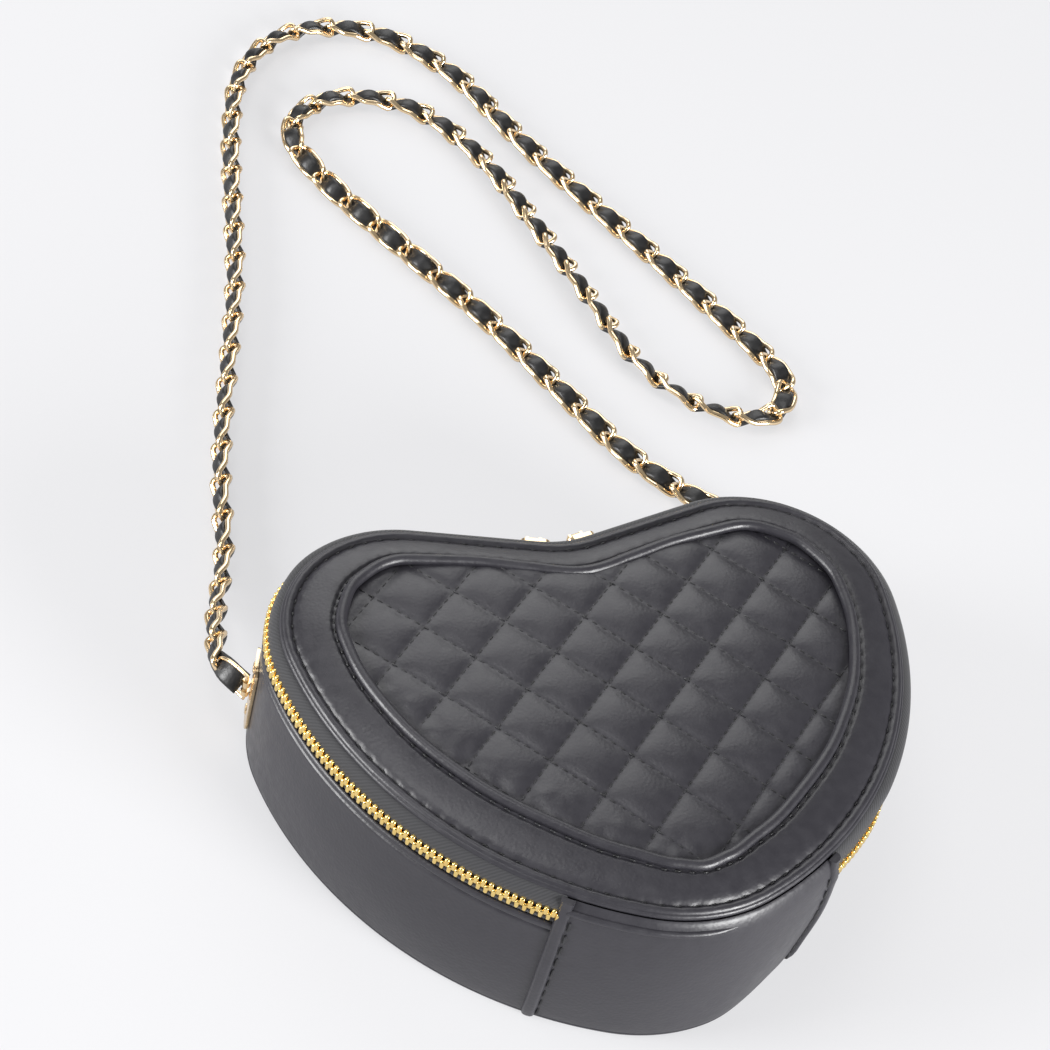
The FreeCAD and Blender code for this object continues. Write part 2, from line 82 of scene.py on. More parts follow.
def flank_centre():
    """Centre of the flank arc, which runs on from the tip arc into the lobe arc."""
    to_lobe = flank_radius - lobe_radius
    to_tip = flank_radius - tip_radius
    between = lobe_centre - tip_centre
    along = (to_tip ** 2 - to_lobe ** 2 + between.length_squared) / (2 * between.length)
    aside = math.sqrt(to_tip ** 2 - along ** 2)
    unit = between.normalized()
    return tip_centre + unit * along + Vector((-unit.y, unit.x)) * aside


def arc_places(centre, radius, start, end, facing=1):
    """Places on an arc with their outward directions, the last one left to the next stretch."""
    count = max(2, round(abs(end - start) * radius / pattern_step))
    places = []
    for i in range(count):
        angle = start + (end - start) * i / count
        outward = Vector((math.cos(angle), math.sin(angle)))
        places.append((centre + outward * radius, outward * facing))
    return places


def half_heart():
    """Places and outward directions from the tip round the right side to the notch."""
    flank = flank_centre()
    tip_end = math.atan2(tip_centre.y - flank.y, tip_centre.x - flank.x)
    flank_end = math.atan2(lobe_centre.y - flank.y, lobe_centre.x - flank.x)
    down, up = -math.pi / 2, math.pi / 2
    places = arc_places(tip_centre, tip_radius, down, tip_end)
    places += arc_places(flank, flank_radius, tip_end, flank_end)
    places += arc_places(lobe_centre, lobe_radius, flank_end, up + notch_slope)
    count = round(notch_run / pattern_step)
    lobe_top = lobe_centre + run_out * lobe_radius
    places += [(lobe_top - run_way * (notch_run * i / count), run_out) for i in range(count)]
    places += arc_places(notch_centre, notch_radius, down + notch_slope, down, facing=-1)
    return places + [(Vector((0, notch_y)), Vector((0, 1)))]


right_half = half_heart()
left_half = [(Vector((-p.x, p.y)), Vector((-o.x, o.y))) for p, o in reversed(right_half[:-1])]
heart = right_half + left_half
heart_runs = [0]
for (before, _), (after, _) in zip(heart, heart[1:]):
    heart_runs.append(heart_runs[-1] + (after - before).length)
heart_length = heart_runs[-1]
notch_at = heart_length / 2
fold_at = next(run for run, (place, _) in zip(heart_runs, heart) if place.y >= fold_y)
right_seam = fold_at + right_seam_past_fold
left_seam = heart_length - fold_at - left_seam_past_fold


def edge_at(run):
    """Place and outward direction on the heart at a run, which may lie past either end."""
    run %= heart_length
    after = min(bisect.bisect_right(heart_runs, run), len(heart) - 1)
    span = heart_runs[after] - heart_runs[after - 1]
    share = (run - heart_runs[after - 1]) / span
    (place, outward), (next_place, next_outward) = heart[after - 1], heart[after]
    return place.lerp(next_place, share), outward.lerp(next_outward, share).normalized()


def soft_step(value, low, high):
    """0 below low, 1 above high, and smooth between them."""
    share = min(max((value - low) / (high - low), 0), 1)
    return share * share * (3 - 2 * share)


def sink(run, height):
    """How far the soft wall has sunk in on the right, where the bag was set down askew: a little beside
    the seam and most on the flank, where it lies back under the zip."""
    by_seam = seam_sink * soft_step(run, *seam_sink_runs) * (1 - soft_step(height, *seam_sink_heights))
    on_flank = flank_sink * soft_step(run, *flank_sink_runs) * (1 - soft_step(height, *flank_sink_heights))
    return (by_seam + on_flank) * (1 - soft_step(run, *sink_end_runs))


def at_edge(run, outset, height):
    """Point at a distance outward from the heart, at a height above the floor. The right seam leans, and
    the wall round it follows."""
    run %= heart_length
    near_seam = 1 - soft_step(abs(run - right_seam), *lean_reach)
    run += right_seam_lean * near_seam * (1 - min(height / edge_height, 1))
    place, outward = edge_at(run)
    return Vector((*(place + outward * (outset - sink(run, height))), height))


# Back. A flat heart of leather is glued to a grey board, lined inside, and edged with a thin piping
# that is sewn in where the side wall joins. The bag lies on it.
back_leather = 1.6 * MM
back_outset = 0.6 * MM
back_piping_outset = 1.9 * MM
back_piping_height = 1.7 * MM
back_piping_radius = 1.2 * MM
lining_low = 3.2 * MM
lining_thickness = 0.6 * MM
lining_outset = 0.4 * MM
board_outset = -0.3 * MM
board_gap = 0.05 * MM
piping_step = 2 * MM
sheet_step = 3 * MM


def make_piece(name, points, faces, face_uvs=None, crease=50):
    """Mesh piece with its faces turned outward, shaded smooth up to the crease angle in degrees."""
    mesh = bpy.data.meshes.new(name)
    mesh.from_pydata(points, [], faces)
    if face_uvs:
        layer = mesh.uv_layers.new(name="UVMap")
        flat = [number for corners in face_uvs for uv in corners for number in uv]
        layer.data.foreach_set("uv", flat)
    shape = bmesh.new()
    shape.from_mesh(mesh)
    bmesh.ops.recalc_face_normals(shape, faces=shape.faces)
    shape.to_mesh(mesh)
    shape.free()
    mesh.shade_smooth()
    mesh.set_sharp_from_angle(angle=math.radians(crease))
    piece = bpy.data.objects.new(name, mesh)
    bpy.context.scene.collection.objects.link(piece)
    return piece


def strip(name, section, start, end, spacing):
    """Piece whose closed section of (outset, height) pairs is carried along the heart between two runs."""
    whole = end - start > heart_length - spacing
    count = round((end - start) / spacing)
    runs = [start + (end - start) * i / count for i in range(count + 1)]
    rings = [[at_edge(run, *pair) for pair in section(run)] for run in (runs[:-1] if whole else runs)]
    around = len(rings[0])
    along_section = [0]
    for i in range(around):
        along_section.append(along_section[-1] + (rings[0][(i + 1) % around] - rings[0][i]).length)
    faces, face_uvs = [], []
    for i in range(count):
        for j in range(around):
            here, there = i * around, (i + 1) % len(rings) * around
            beside = (j + 1) % around
            faces.append((here + j, there + j, there + beside, here + beside))
            low, high = along_section[j], along_section[j + 1]
            face_uvs.append([(runs[i], low), (runs[i + 1], low), (runs[i + 1], high), (runs[i], high)])
    if not whole:
        for first in (0, count * around):
            faces.append(tuple(range(first, first + around)))
            face_uvs.append([(pair.x, pair.z) for pair in rings[first // around]])
    points = [point for ring in rings for point in ring]
    return make_piece(name, points, faces, face_uvs)


def round_section(outset, height, radius, sides=12):
    """Closed round section for a piping."""
    turns = [2 * math.pi * i / sides for i in range(sides)]
    return [(outset + radius * math.cos(turn), height + radius * math.sin(turn)) for turn in turns]


def piping(name, outset_at, height, radius):
    """Rolled piping all round the heart, at an outset from it that may change with the run."""
    return strip(name, lambda run: round_section(outset_at(run), height, radius),
                 0, heart_length, piping_step)


def heart_sheet(name, outset, low, high, lowest_y=-1, rings=14):
    """Flat heart with a thickness, in rings about the origin, cut off below lowest_y."""
    count = round(heart_length / sheet_step)
    outline = [at_edge(heart_length * i / count, outset, low) for i in range(count)]
    outline = [Vector((place.x, max(place.y, lowest_y))) for place in outline]
    shares = [(i + 1) / rings for i in range(rings)]
    points = [Vector((0, 0, low))]
    for height, order in ((low, shares), (high, shares[::-1])):
        points += [Vector((*(place * share), height)) for share in order for place in outline]
    points.append(Vector((0, 0, high)))
    last = len(points) - 1
    faces = [(0, 1 + (i + 1) % count, 1 + i) for i in range(count)]
    for ring in range(2 * rings - 1):
        first = 1 + ring * count
        for i in range(count):
            beside = (i + 1) % count
            faces.append((first + i, first + beside, first + count + beside, first + count + i))
    faces += [(last, last - count + i, last - count + (i + 1) % count) for i in range(count)]
    face_uvs = [[(points[corner].x, points[corner].y) for corner in face] for face in faces]
    return make_piece(name, points, faces, face_uvs)


def fit(piece, material, slot, body, *nodes):
    """Gives a piece its material and the body that it moves with, and lets it stand for CAD nodes."""
    piece.data.materials.append(material)
    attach(piece, body)
    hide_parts(*nodes)
    return piece


def linear(code):
    """sRGB hex colour as linear RGBA."""
    channels = [int(code[i:i + 2], 16) / 255 for i in (1, 3, 5)]
    return (*[c / 12.92 if c <= 0.04045 else ((c + 0.055) / 1.055) ** 2.4 for c in channels], 1)


def set_inputs(material, node, **inputs):
    """Sets a node's inputs, named with _ for a space or by number, to values or to outputs that it links."""
    for name, value in inputs.items():
        numbered = name.startswith("input_")
        socket = node.inputs[int(name.removeprefix("input_")) if numbered else name.replace("_", " ")]
        if isinstance(value, bpy.types.NodeSocket):
            material.node_tree.links.new(value, socket)
        else:
            socket.default_value = value


def add_node(material, kind, settings=None, **inputs):
    """Adds a node with its settings and its inputs."""
    node = material.node_tree.nodes.new(kind)
    for name, value in (settings or {}).items():
        setattr(node, name, value)
    set_inputs(material, node, **inputs)
    return node


def new_material(name):
    """Empty material with its shader node."""
    material = bpy.data.materials.new(name)
    material.use_nodes = True
    return material, material.node_tree.nodes["Principled BSDF"]


def satin_leather(name, dark, light, smooth, rough):
    """Black leather with a pressed fine grain and a satin top coat: broad soft highlights, faint pores
    and a slow unevenness where the hide isn't quite flat. Its grain is drawn at 1 mm, so that it shows."""
    grain, hide, patch = 1.0 * MM, 11 * MM, 4 * MM
    material, shader = new_material(name)
    place = add_node(material, "ShaderNodeTexCoord").outputs["Object"]
    pores = add_node(material, "ShaderNodeTexVoronoi", {"feature": "SMOOTH_F1"},
                     Vector=place, Scale=1 / grain).outputs["Distance"]
    wave = add_node(material, "ShaderNodeTexNoise", Vector=place, Scale=1 / hide, Detail=1.5)
    mottle = add_node(material, "ShaderNodeTexNoise", Vector=place, Scale=1 / patch, Detail=3)
    slow = add_node(material, "ShaderNodeBump", Height=wave.outputs["Fac"], Strength=0.2, Distance=0.8 * MM)
    fine = add_node(material, "ShaderNodeBump", Height=pores, Normal=slow.outputs["Normal"],
                    Strength=0.4, Distance=0.14 * MM)
    tint = add_node(material, "ShaderNodeMix", {"data_type": "RGBA"}, Factor=mottle.outputs["Fac"],
                    input_6=linear(dark), input_7=linear(light))
    gloss = add_node(material, "ShaderNodeMapRange", Value=mottle.outputs["Fac"], From_Min=0.3, From_Max=0.7,
                     To_Min=smooth, To_Max=rough)
    set_inputs(material, shader, Base_Color=tint.outputs["Result"], Roughness=gloss.outputs["Result"],
               Normal=fine.outputs["Normal"], IOR=1.5)
    return material


def woven_lining():
    """Plain woven polyester: flat threads cross over and under, which gives a matt, faintly checked face.
    The real threads are 0.3 mm apart; they are drawn at 0.9 mm so that they show."""
    thread = 0.9 * MM
    material, shader = new_material("woven polyester lining")
    place = add_node(material, "ShaderNodeTexCoord").outputs["UV"]
    checks = add_node(material, "ShaderNodeTexChecker", Vector=place, Scale=1 / thread,
                      Color1=linear("#1c1c1f"), Color2=linear("#29292c"))
    raised = add_node(material, "ShaderNodeBump", Height=checks.outputs["Fac"],
                      Strength=0.4, Distance=0.1 * MM)
    set_inputs(material, shader, Base_Color=checks.outputs["Color"], Normal=raised.outputs["Normal"],
               Roughness=0.85, Sheen_Weight=0.2)
    return material


def pressed_board():
    """Grey board of pressed paper fibre: a matt warm grey with short darker flecks."""
    fleck = 1.5 * MM
    material, shader = new_material("pressed grey board")
    place = add_node(material, "ShaderNodeTexCoord").outputs["Object"]
    fibre = add_node(material, "ShaderNodeTexNoise", Vector=place, Scale=1 / fleck, Detail=4)
    tint = add_node(material, "ShaderNodeMix", {"data_type": "RGBA"}, Factor=fibre.outputs["Fac"],
                    input_6=linear("#6f6a63"), input_7=linear("#96918a"))
    set_inputs(material, shader, Base_Color=tint.outputs["Result"], Roughness=0.9)
    return material


def paint_nodes(material, *names):
    """Gives CAD nodes a material."""
    for name in names:
        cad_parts[name].material_slots[0].material = material


leather = satin_leather("satin black leather", "#212025", "#2b2a2f", 0.34, 0.44)
lining = woven_lining()
board = pressed_board()

back = heart_sheet("back_leather", back_outset, 0, back_leather)
fit(back, leather, "black_leather", "bag_body", "back_panel")
back_edge = piping("back_edge_piping", lambda run: back_piping_outset, back_piping_height, back_piping_radius)
fit(back_edge, leather, "black_leather", "bag_body", "back_piping")
floor_lining = heart_sheet("floor_lining", lining_outset, lining_low, lining_low + lining_thickness)
fit(floor_lining, lining, "lining_fabric", "bag_body", "back_lining")
stiff_back = heart_sheet("stiff_back", board_outset, back_leather + board_gap, lining_low - board_gap)
fit(stiff_back, board, "stiff_board", "bag_body", "back_board")


# Side wall. A long band of soft leather runs from seam to seam round the lobes and the notch, its top
# edge turned over and creased under the zip, and a full height panel closes the tip. Fabric lines both.
wall_face = 3.4 * MM
wall_swell = 1.7 * MM
wall_uneven = 0.5 * MM
# Changes of the wall's unevenness in a metre, along it and up it
uneven_along, uneven_up = 28, 30
wall_top = 48 * MM
tip_panel_top = 57.6 * MM
wall_step = 2 * MM
plate_turn = math.radians(19)
plate_reach = 14 * MM
wall_lining_low = 3.9 * MM
stiffener_outset = 1.05 * MM
stiffener_thickness = 0.55 * MM
stiffener_top = 42.5 * MM

plate_place = lobe_centre + Vector((math.cos(plate_turn), math.sin(plate_turn))) * lobe_radius
right_plate_at = min(zip(heart_runs, heart), key=lambda pair: (pair[1][0] - plate_place).length)[0]
left_plate_at = heart_length - right_plate_at


def swell(run, height, top):
    """How far the soft wall stands out: most at half height, pressed flat under the two side plates."""
    from_plate = min(abs(run - right_plate_at), abs(run - left_plate_at))
    free = soft_step(from_plate, plate_reach / 2, 2 * plate_reach)
    drift = noise.noise(Vector((run * uneven_along, height * uneven_up, 0)))
    return free * (wall_swell + wall_uneven * drift) * math.sin(math.pi * min(max(height / top, 0), 1))


def wall_profile(run, outer, inner, top):
    """Section from drawn (outset, height) pairs in millimetres, with its outer face swollen."""
    face = [(outset * MM, height * MM) for outset, height in outer]
    face = [(outset + swell(run, height, top), height) for outset, height in face]
    return face + [(outset * MM, height * MM) for outset, height in inner]


def wall_section(run):
    """Band of the wall: foot turned under, swollen face, crease, turned edge and flat back."""
    foot = [(0.9, 0.3), (2.2, 0.7), (2.9, 1.9), (3.2, 4), (3.35, 8)]
    face = [(wall_face / MM, height) for height in (13, 19, 25, 31, 37, 41)]
    edge = [(3.5, 43.7), (3.55, 44.5), (2.75, 45.0), (3.5, 45.5), (3.9, 46.2), (3.9, 47.1), (3.5, 47.9),
            (2.8, 48.1), (2.2, 47.5)]
    back_face = [(1.9, 46), (1.9, 24), (1.7, 4), (0.6, 1.6)]
    return wall_profile(run, foot + face + edge, back_face, wall_top)


def tip_section(run):
    """Panel of the tip: as the band, but up to the front edge."""
    outer = [(0.9, 0.3), (2.2, 0.7), (2.9, 1.9), (3.2, 4), (3.35, 8), (3.4, 15), (3.4, 23), (3.4, 31),
             (3.4, 39), (3.3, 46), (3.2, 51), (2.9, 54), (2.2, 56.4), (1.4, 57.9), (0.5, 58.7)]
    inner = [(-0.1, 58.2), (1.2, 54), (1.9, 30), (1.7, 4), (0.6, 1.6)]
    return wall_profile(run, outer, inner, tip_panel_top)


def rounded(piece):
    """Subdivides a piece, so that soft leather has no facets."""
    modifier = piece.modifiers.new("rounded", "SUBSURF")
    modifier.levels = modifier.render_levels = 1
    return piece


wall = rounded(strip("wall_band", wall_section, right_seam, left_seam, wall_step))
fit(wall, leather, "black_leather", "bag_body", "gusset_band")
tip_panel = rounded(strip("tip_panel", tip_section, left_seam - heart_length, right_seam, wall_step))
fit(tip_panel, leather, "black_leather", "bag_body", "gusset_tip_panel")


def layer(inner, thickness, low, high, rows=12):
    """Section of a thin layer inside the wall, in enough rows to follow it where it sinks."""
    heights = [low + (high - low) * i / rows for i in range(rows + 1)]
    return [(inner + thickness, height) for height in heights] + [(inner, height) for height in heights[::-1]]


stiffener_section = layer(stiffener_outset, stiffener_thickness, wall_lining_low, stiffener_top)
stiffener = strip("wall_stiffener", lambda run: stiffener_section, 0, heart_length, wall_step)
fit(stiffener, board, "stiff_board", "bag_body", "gusset_stiffener")
lining_section = layer(lining_outset, lining_thickness, wall_lining_low, wall_top)
wall_lining = strip("wall_lining", lambda run: lining_section, 0, heart_length, wall_step)
fit(wall_lining, lining, "lining_fabric", "bag_body", "gusset_lining")


# Seam welts and tip ridge. A folded strip of leather covers each side seam, topstitched on the side of
# the tip with black bonded thread. The tip panel's top edge is rolled into a ridge under the front edge.
welt_half_width = 2.1 * MM
welt_rise = 1.3 * MM
welt_low = 1.2 * MM
welt_top = 59.0 * MM
welt_step = 0.52 * MM
welt_rows = 20
welt_edge_rise = 0.1 * MM
welt_under = 0.9 * MM
welt_top_tuck = 1.6 * MM
welt_top_heights = (50 * MM, 58 * MM)
welt_foot_tuck = 1.0 * MM
welt_foot_heights = (0, 6 * MM)
welt_stitch_away = 0.5 * MM
welt_row_low = 5 * MM
welt_row_ends = 8 * MM
welt_row_tuck = 0.4 * MM
welt_row_heights = (46 * MM, 54 * MM)
ridge_outset = 2.6 * MM
ridge_drop = 5.4 * MM
ridge_radius = 1.2 * MM
ridge_inset = 0.8 * MM
ridge_fade_from = -4 * MM
ridge_fade_to = 14 * MM
ridge_fade_sink = 0.9 * MM
ridge_fade_thinning = 0.6
welt_pitch = 5.6 * MM
welt_stitch = 4.1 * MM
thread_radius = 0.5 * MM


def welt_section(centre):
    """Section of a welt: a low round back over the wall, thinning to its two edges."""
    def section(run):
        across = min(abs(run - centre) / welt_half_width, 1)
        rise = welt_rise * (1 - across ** 4) + welt_edge_rise
        heights = [welt_low + (welt_top - welt_low) * i / welt_rows for i in range(welt_rows + 1)]
        lean = [wall_face + swell(run, height, wall_top)
                - welt_top_tuck * soft_step(height, *welt_top_heights)
                - welt_foot_tuck * (1 - soft_step(height, *welt_foot_heights)) for height in heights]
        outer = [(under + rise, height) for under, height in zip(lean, heights)]
        inner = [(under - welt_under, height) for under, height in zip(lean, heights)]
        return outer + inner[::-1]
    return section


def stitches(name, places, length, radius):
    """Row of thread stitches: a small capsule at each (point, way along, way up)."""
    sides, points, faces = 6, [], []
    # Rings of a capsule: shares of the stitch's length and of the thread's radius
    rounds = [(-0.5, 0.35), (-0.36, 0.85), (0, 1), (0.36, 0.85), (0.5, 0.35)]
    for point, along, up in places:
        across = along.cross(up).normalized()
        first = len(points)
        for share, width in rounds:
            middle = point + along * (share * length)
            for i in range(sides):
                turn = 2 * math.pi * i / sides
                reach = across * math.cos(turn) + up * math.sin(turn)
                points.append(middle + reach * (width * radius))
        for ring in range(len(rounds) - 1):
            low = first + ring * sides
            for i in range(sides):
                beside = (i + 1) % sides
                faces.append((low + i, low + beside, low + sides + beside, low + sides + i))
        end = first + (len(rounds) - 1) * sides
        faces.append(tuple(range(first, first + sides)))
        faces.append(tuple(range(end, end + sides)))
    return make_piece(name, points, faces)


def bonded_thread():
    """Twisted black polyester thread with a bonded, slightly waxy coat: dull, with fine slanting plies."""
    ply = 0.7 * MM
    material, shader = new_material("black bonded thread")
    place = add_node(material, "ShaderNodeTexCoord").outputs["Object"]
    plies = add_node(material, "ShaderNodeTexWave", {"bands_direction": "DIAGONAL"}, Vector=place,
                     Scale=1 / (20 * ply))
    raised = add_node(material, "ShaderNodeBump", Height=plies.outputs["Fac"],
                      Strength=0.5, Distance=0.1 * MM)
    # Painted shade: the thread's colour is darker in the grooves between the plies, where the bump is low,
    # and lighter on their crests.
    tint = add_node(material, "ShaderNodeMix", {"data_type": "RGBA"}, Factor=plies.outputs["Fac"],
                    input_6=linear("#101012"), input_7=linear("#1f1f22"))
    set_inputs(material, shader, Base_Color=tint.outputs["Result"], Normal=raised.outputs["Normal"],
               Roughness=0.5)
    return material


thread = bonded_thread()
for side, seam, node in ((1, right_seam, "seam_welt_right"), (-1, left_seam, "seam_welt_left")):
    welt = strip(node.replace("seam_welt", "welt"), welt_section(seam),
                 seam - welt_half_width, seam + welt_half_width, welt_step)
    fit(welt, leather, "black_leather", "bag_body", node)
    stitch_run = seam - side * (welt_half_width + welt_stitch_away)
    row = []
    for i in range(round((welt_top - welt_row_ends) / welt_pitch)):
        height = welt_row_low + i * welt_pitch
        outset = wall_face + swell(stitch_run, height, tip_panel_top)
        outset -= welt_row_tuck * soft_step(height, *welt_row_heights)
        point, above = at_edge(stitch_run, outset, height), at_edge(stitch_run, outset, height + MM)
        row.append((point, (above - point).normalized(), Vector((*edge_at(stitch_run)[1], 0))))
    row_name = node.replace("seam_welt", "welt_stitches")
    fit(stitches(row_name, row, welt_stitch, thread_radius), thread, "black_leather", "bag_body")


def ridge_section(run):
    """Section of the ridge, which flattens into the panel right of the tip."""
    flat = soft_step(run, ridge_fade_from, ridge_fade_to)
    return round_section(ridge_outset - ridge_fade_sink * flat, edge_height - ridge_drop,
                         ridge_radius * (1 - ridge_fade_thinning * flat))


ridge = strip("tip_ridge_roll", ridge_section, left_seam - heart_length + ridge_inset, ridge_fade_to,
              piping_step)
fit(ridge, leather, "black_leather", "bag_body", "tip_ridge")


# Zip. Metal teeth are clamped in two rows on woven tapes, one sewn under the front edge and one inside
# the wall's top. The rows mesh all round and part between the two sliders at the notch.
zip_height = 52.5 * MM
zip_pitch = 2.39 * MM
zip_seat = 1.4 * MM
zip_stand = 1.5 * MM
tooth_width = 1.6 * MM
tooth_tall = 3.3 * MM
tooth_deep = 2.6 * MM
tooth_shift = 1.0 * MM
tooth_bevel = 0.65 * MM
row_parting = 1.5 * MM
parted_run = 7 * MM
meshed_run = 14 * MM
tape_half = 0.4 * MM
tape_gap = 1.0 * MM
tape_bulge = 1.9 * MM
tape_foot = 43.2 * MM
tape_foot_outset = 1.4 * MM
tuck_start_runs = (66 * MM, 84 * MM)
tuck_end_runs = (376 * MM, 396 * MM)
# Upper tape's line: outset in millimetres, shares of the zip's outset and of the bulge, drop in millimetres
upper_tape_line = [(-0.2, 0, 0, 1.4), (0.5, 0.25, 0.7, 2.3), (0.4, 0.6, 1, 3.9), (0.2, 0.85, 0.8, 5.4)]
# Lower tape's line: outset in millimetres, share of the zip's outset, drop below the row in millimetres
lower_tape_line = [(0, 1, 0), (0.2, 0.8, 2), (1.45, 0, 4.4)]
zip_end = 2.2 * MM
stop_tall = 4.6 * MM
stop_long = 2.0 * MM


def tucked(run):
    """1 along the back and the right flank, where the zip lies close under its tape, and 0 where it shows."""
    return soft_step(run, *tuck_start_runs) * (1 - soft_step(run, *tuck_end_runs))


def zip_outset(run):
    """The zip stands proud where it shows, and lies close where the tape hides it and the sliders run."""
    return zip_seat + zip_stand * (1 - tucked(run))


def zip_parting(run):
    """How far each row is drawn from the middle: parted at the notch, meshed past the sliders."""
    return row_parting * (1 - soft_step(abs(run - notch_at), parted_run, meshed_run))


def tape_section(line):
    """Closed section of a tape about its middle line of (outset, height) pairs."""
    return [(x + tape_half, z) for x, z in line] + [(x - tape_half, z) for x, z in line[::-1]]


def upper_tape_section(run):
    """Upper tape: from under the front edge down to the upper row, bulging out where the zip is tucked."""
    out, low = zip_outset(run), zip_height + tape_gap + zip_parting(run)
    bulge = tape_bulge * tucked(run)
    line = [(x * MM + zip_share * out + bulge_share * bulge, edge_height - drop * MM)
            for x, zip_share, bulge_share, drop in upper_tape_line]
    return tape_section(line + [(out, low)])


def lower_tape_section(run):
    """Lower tape: from the lower row down behind the wall's top edge."""
    out, high = zip_outset(run), zip_height - tape_gap - zip_parting(run)
    line = [(x * MM + zip_share * out, high - drop * MM) for x, zip_share, drop in lower_tape_line]
    return tape_section(line + [(tape_foot_outset, tape_foot)])


def twill_tape():
    """Polyester zip tape woven in twill: fine slanting ribs along the tape that catch a little light.
    The ribs are 0.5 mm apart; they are drawn at 0.7 mm so that they show."""
    rib = 0.7 * MM
    material, shader = new_material("twill zip tape")
    place = add_node(material, "ShaderNodeTexCoord").outputs["UV"]
    ribs = add_node(material, "ShaderNodeTexWave", {"bands_direction": "DIAGONAL"}, Vector=place,
                    Scale=math.pi / (10 * rib), Distortion=0.4, Detail_Scale=2)
    raised = add_node(material, "ShaderNodeBump", Height=ribs.outputs["Fac"],
                      Strength=0.4, Distance=0.15 * MM)
    # Painted shade and painted highlight: the tape's colour is darker in the grooves between the ribs and
    # lighter on their crests.
    tint = add_node(material, "ShaderNodeMix", {"data_type": "RGBA"}, Factor=ribs.outputs["Fac"],
                    input_6=linear("#1b1b1e"), input_7=linear("#29292c"))
    set_inputs(material, shader, Base_Color=tint.outputs["Result"], Normal=raised.outputs["Normal"],
               Roughness=0.75, Sheen_Weight=0.15)
    return material


def gold_plate(name, dark, light, smooth, rough):
    """Thin gold colour plating on die cast zinc or brass: bright, nearly a mirror, with faint duller
    patches."""
    patch = 5 * MM
    material, shader = new_material(name)
    place = add_node(material, "ShaderNodeTexCoord").outputs["Object"]
    cloud = add_node(material, "ShaderNodeTexNoise", Vector=place, Scale=1 / patch, Detail=2)
    tint = add_node(material, "ShaderNodeMix", {"data_type": "RGBA"}, Factor=cloud.outputs["Fac"],
                    input_6=linear(dark), input_7=linear(light))
    gloss = add_node(material, "ShaderNodeMapRange", Value=cloud.outputs["Fac"], From_Min=0.3, From_Max=0.7,
                     To_Min=smooth, To_Max=rough)
    set_inputs(material, shader, Base_Color=tint.outputs["Result"], Roughness=gloss.outputs["Result"],
               Metallic=1)
    return material


def zip_tooth():
    """Points and faces of one tooth about its middle: a small block with rounded edges."""
    shape = bmesh.new()
    bmesh.ops.create_cube(shape, size=1)
    bmesh.ops.scale(shape, vec=(tooth_width, tooth_deep, tooth_tall), verts=shape.verts)
    bmesh.ops.bevel(shape, geom=shape.edges[:], offset=tooth_bevel, segments=3, profile=0.5, affect="EDGES")
    shape.verts.index_update()
    points = [vertex.co.copy() for vertex in shape.verts]
    faces = [tuple(vertex.index for vertex in face.verts) for face in shape.faces]
    shape.free()
    return points, faces


def join_shapes(shapes):
    """One list of points and faces from several."""
    points, faces = [], []
    for more_points, more_faces in shapes:
        first = len(points)
        points += more_points
        faces += [tuple(first + corner for corner in face) for face in more_faces]
    return points, faces


def clamped_blocks(name, places, stretch=(1, 1, 1)):
    """Metal blocks clamped on a tape: a tooth, stretched where asked, at each run and height."""
    tooth_points, tooth_faces = zip_tooth()
    scale = Matrix.Diagonal(stretch)
    blocks = []
    for run, height in places:
        outward = edge_at(run)[1]
        along = Vector((-outward.y, outward.x, 0))
        turn = Matrix((along, (*outward, 0), (0, 0, 1))).transposed()
        middle = at_edge(run, zip_outset(run), height)
        blocks.append(([middle + turn @ (scale @ point) for point in tooth_points], tooth_faces))
    return make_piece(name, *join_shapes(blocks), crease=35)


def tooth_places(side, shift):
    """Run and height of each tooth in a row: side is 1 for the upper row and -1 for the lower."""
    places, run = [], right_seam + zip_end + shift
    while run < left_seam - zip_end:
        places.append((run, zip_height + side * (tooth_shift + zip_parting(run))))
        run += zip_pitch
    return places


tape = twill_tape()
tooth_metal = gold_plate("polished brass teeth", "#e3bf6c", "#f6dc94", 0.16, 0.26)
gold = gold_plate("light gold plate", "#efd0a0", "#fbe4c0", 0.12, 0.22)

upper_tape = rounded(strip("upper_tape", upper_tape_section, right_seam, left_seam, wall_step))
fit(upper_tape, tape, "zip_tape", "front_flap", "upper_zip_tape")
lower_tape = strip("lower_tape", lower_tape_section, right_seam, left_seam, wall_step)
fit(lower_tape, tape, "zip_tape", "bag_body", "lower_zip_tape")
upper_teeth = clamped_blocks("upper_teeth", tooth_places(1, 0))
fit(upper_teeth, tooth_metal, "gilt_metal", "front_flap", "upper_zip_teeth")
lower_teeth = clamped_blocks("lower_teeth", tooth_places(-1, zip_pitch / 2))
fit(lower_teeth, tooth_metal, "gilt_metal", "bag_body", "lower_zip_teeth")
stop_runs = (right_seam + stop_long / 2, left_seam - stop_long / 2)
stop_places = [(run, zip_height - tooth_shift) for run in stop_runs]
end_stops = clamped_blocks("end_stops", stop_places, (stop_long / tooth_width, 1, stop_tall / tooth_tall))
fit(end_stops, tooth_metal, "gilt_metal", "bag_body", "zip_end_stops")
paint_nodes(gold, "zip_slider_left", "zip_slider_right", "pull_tab_left", "pull_tab_right")


# Front border. Smooth leather over thin foam slopes up from the front edge to the quilted heart. Its outer
# edge is turned over and topstitched, and a second row of stitches runs beside the inner piping.
border_step = 0.7 * MM
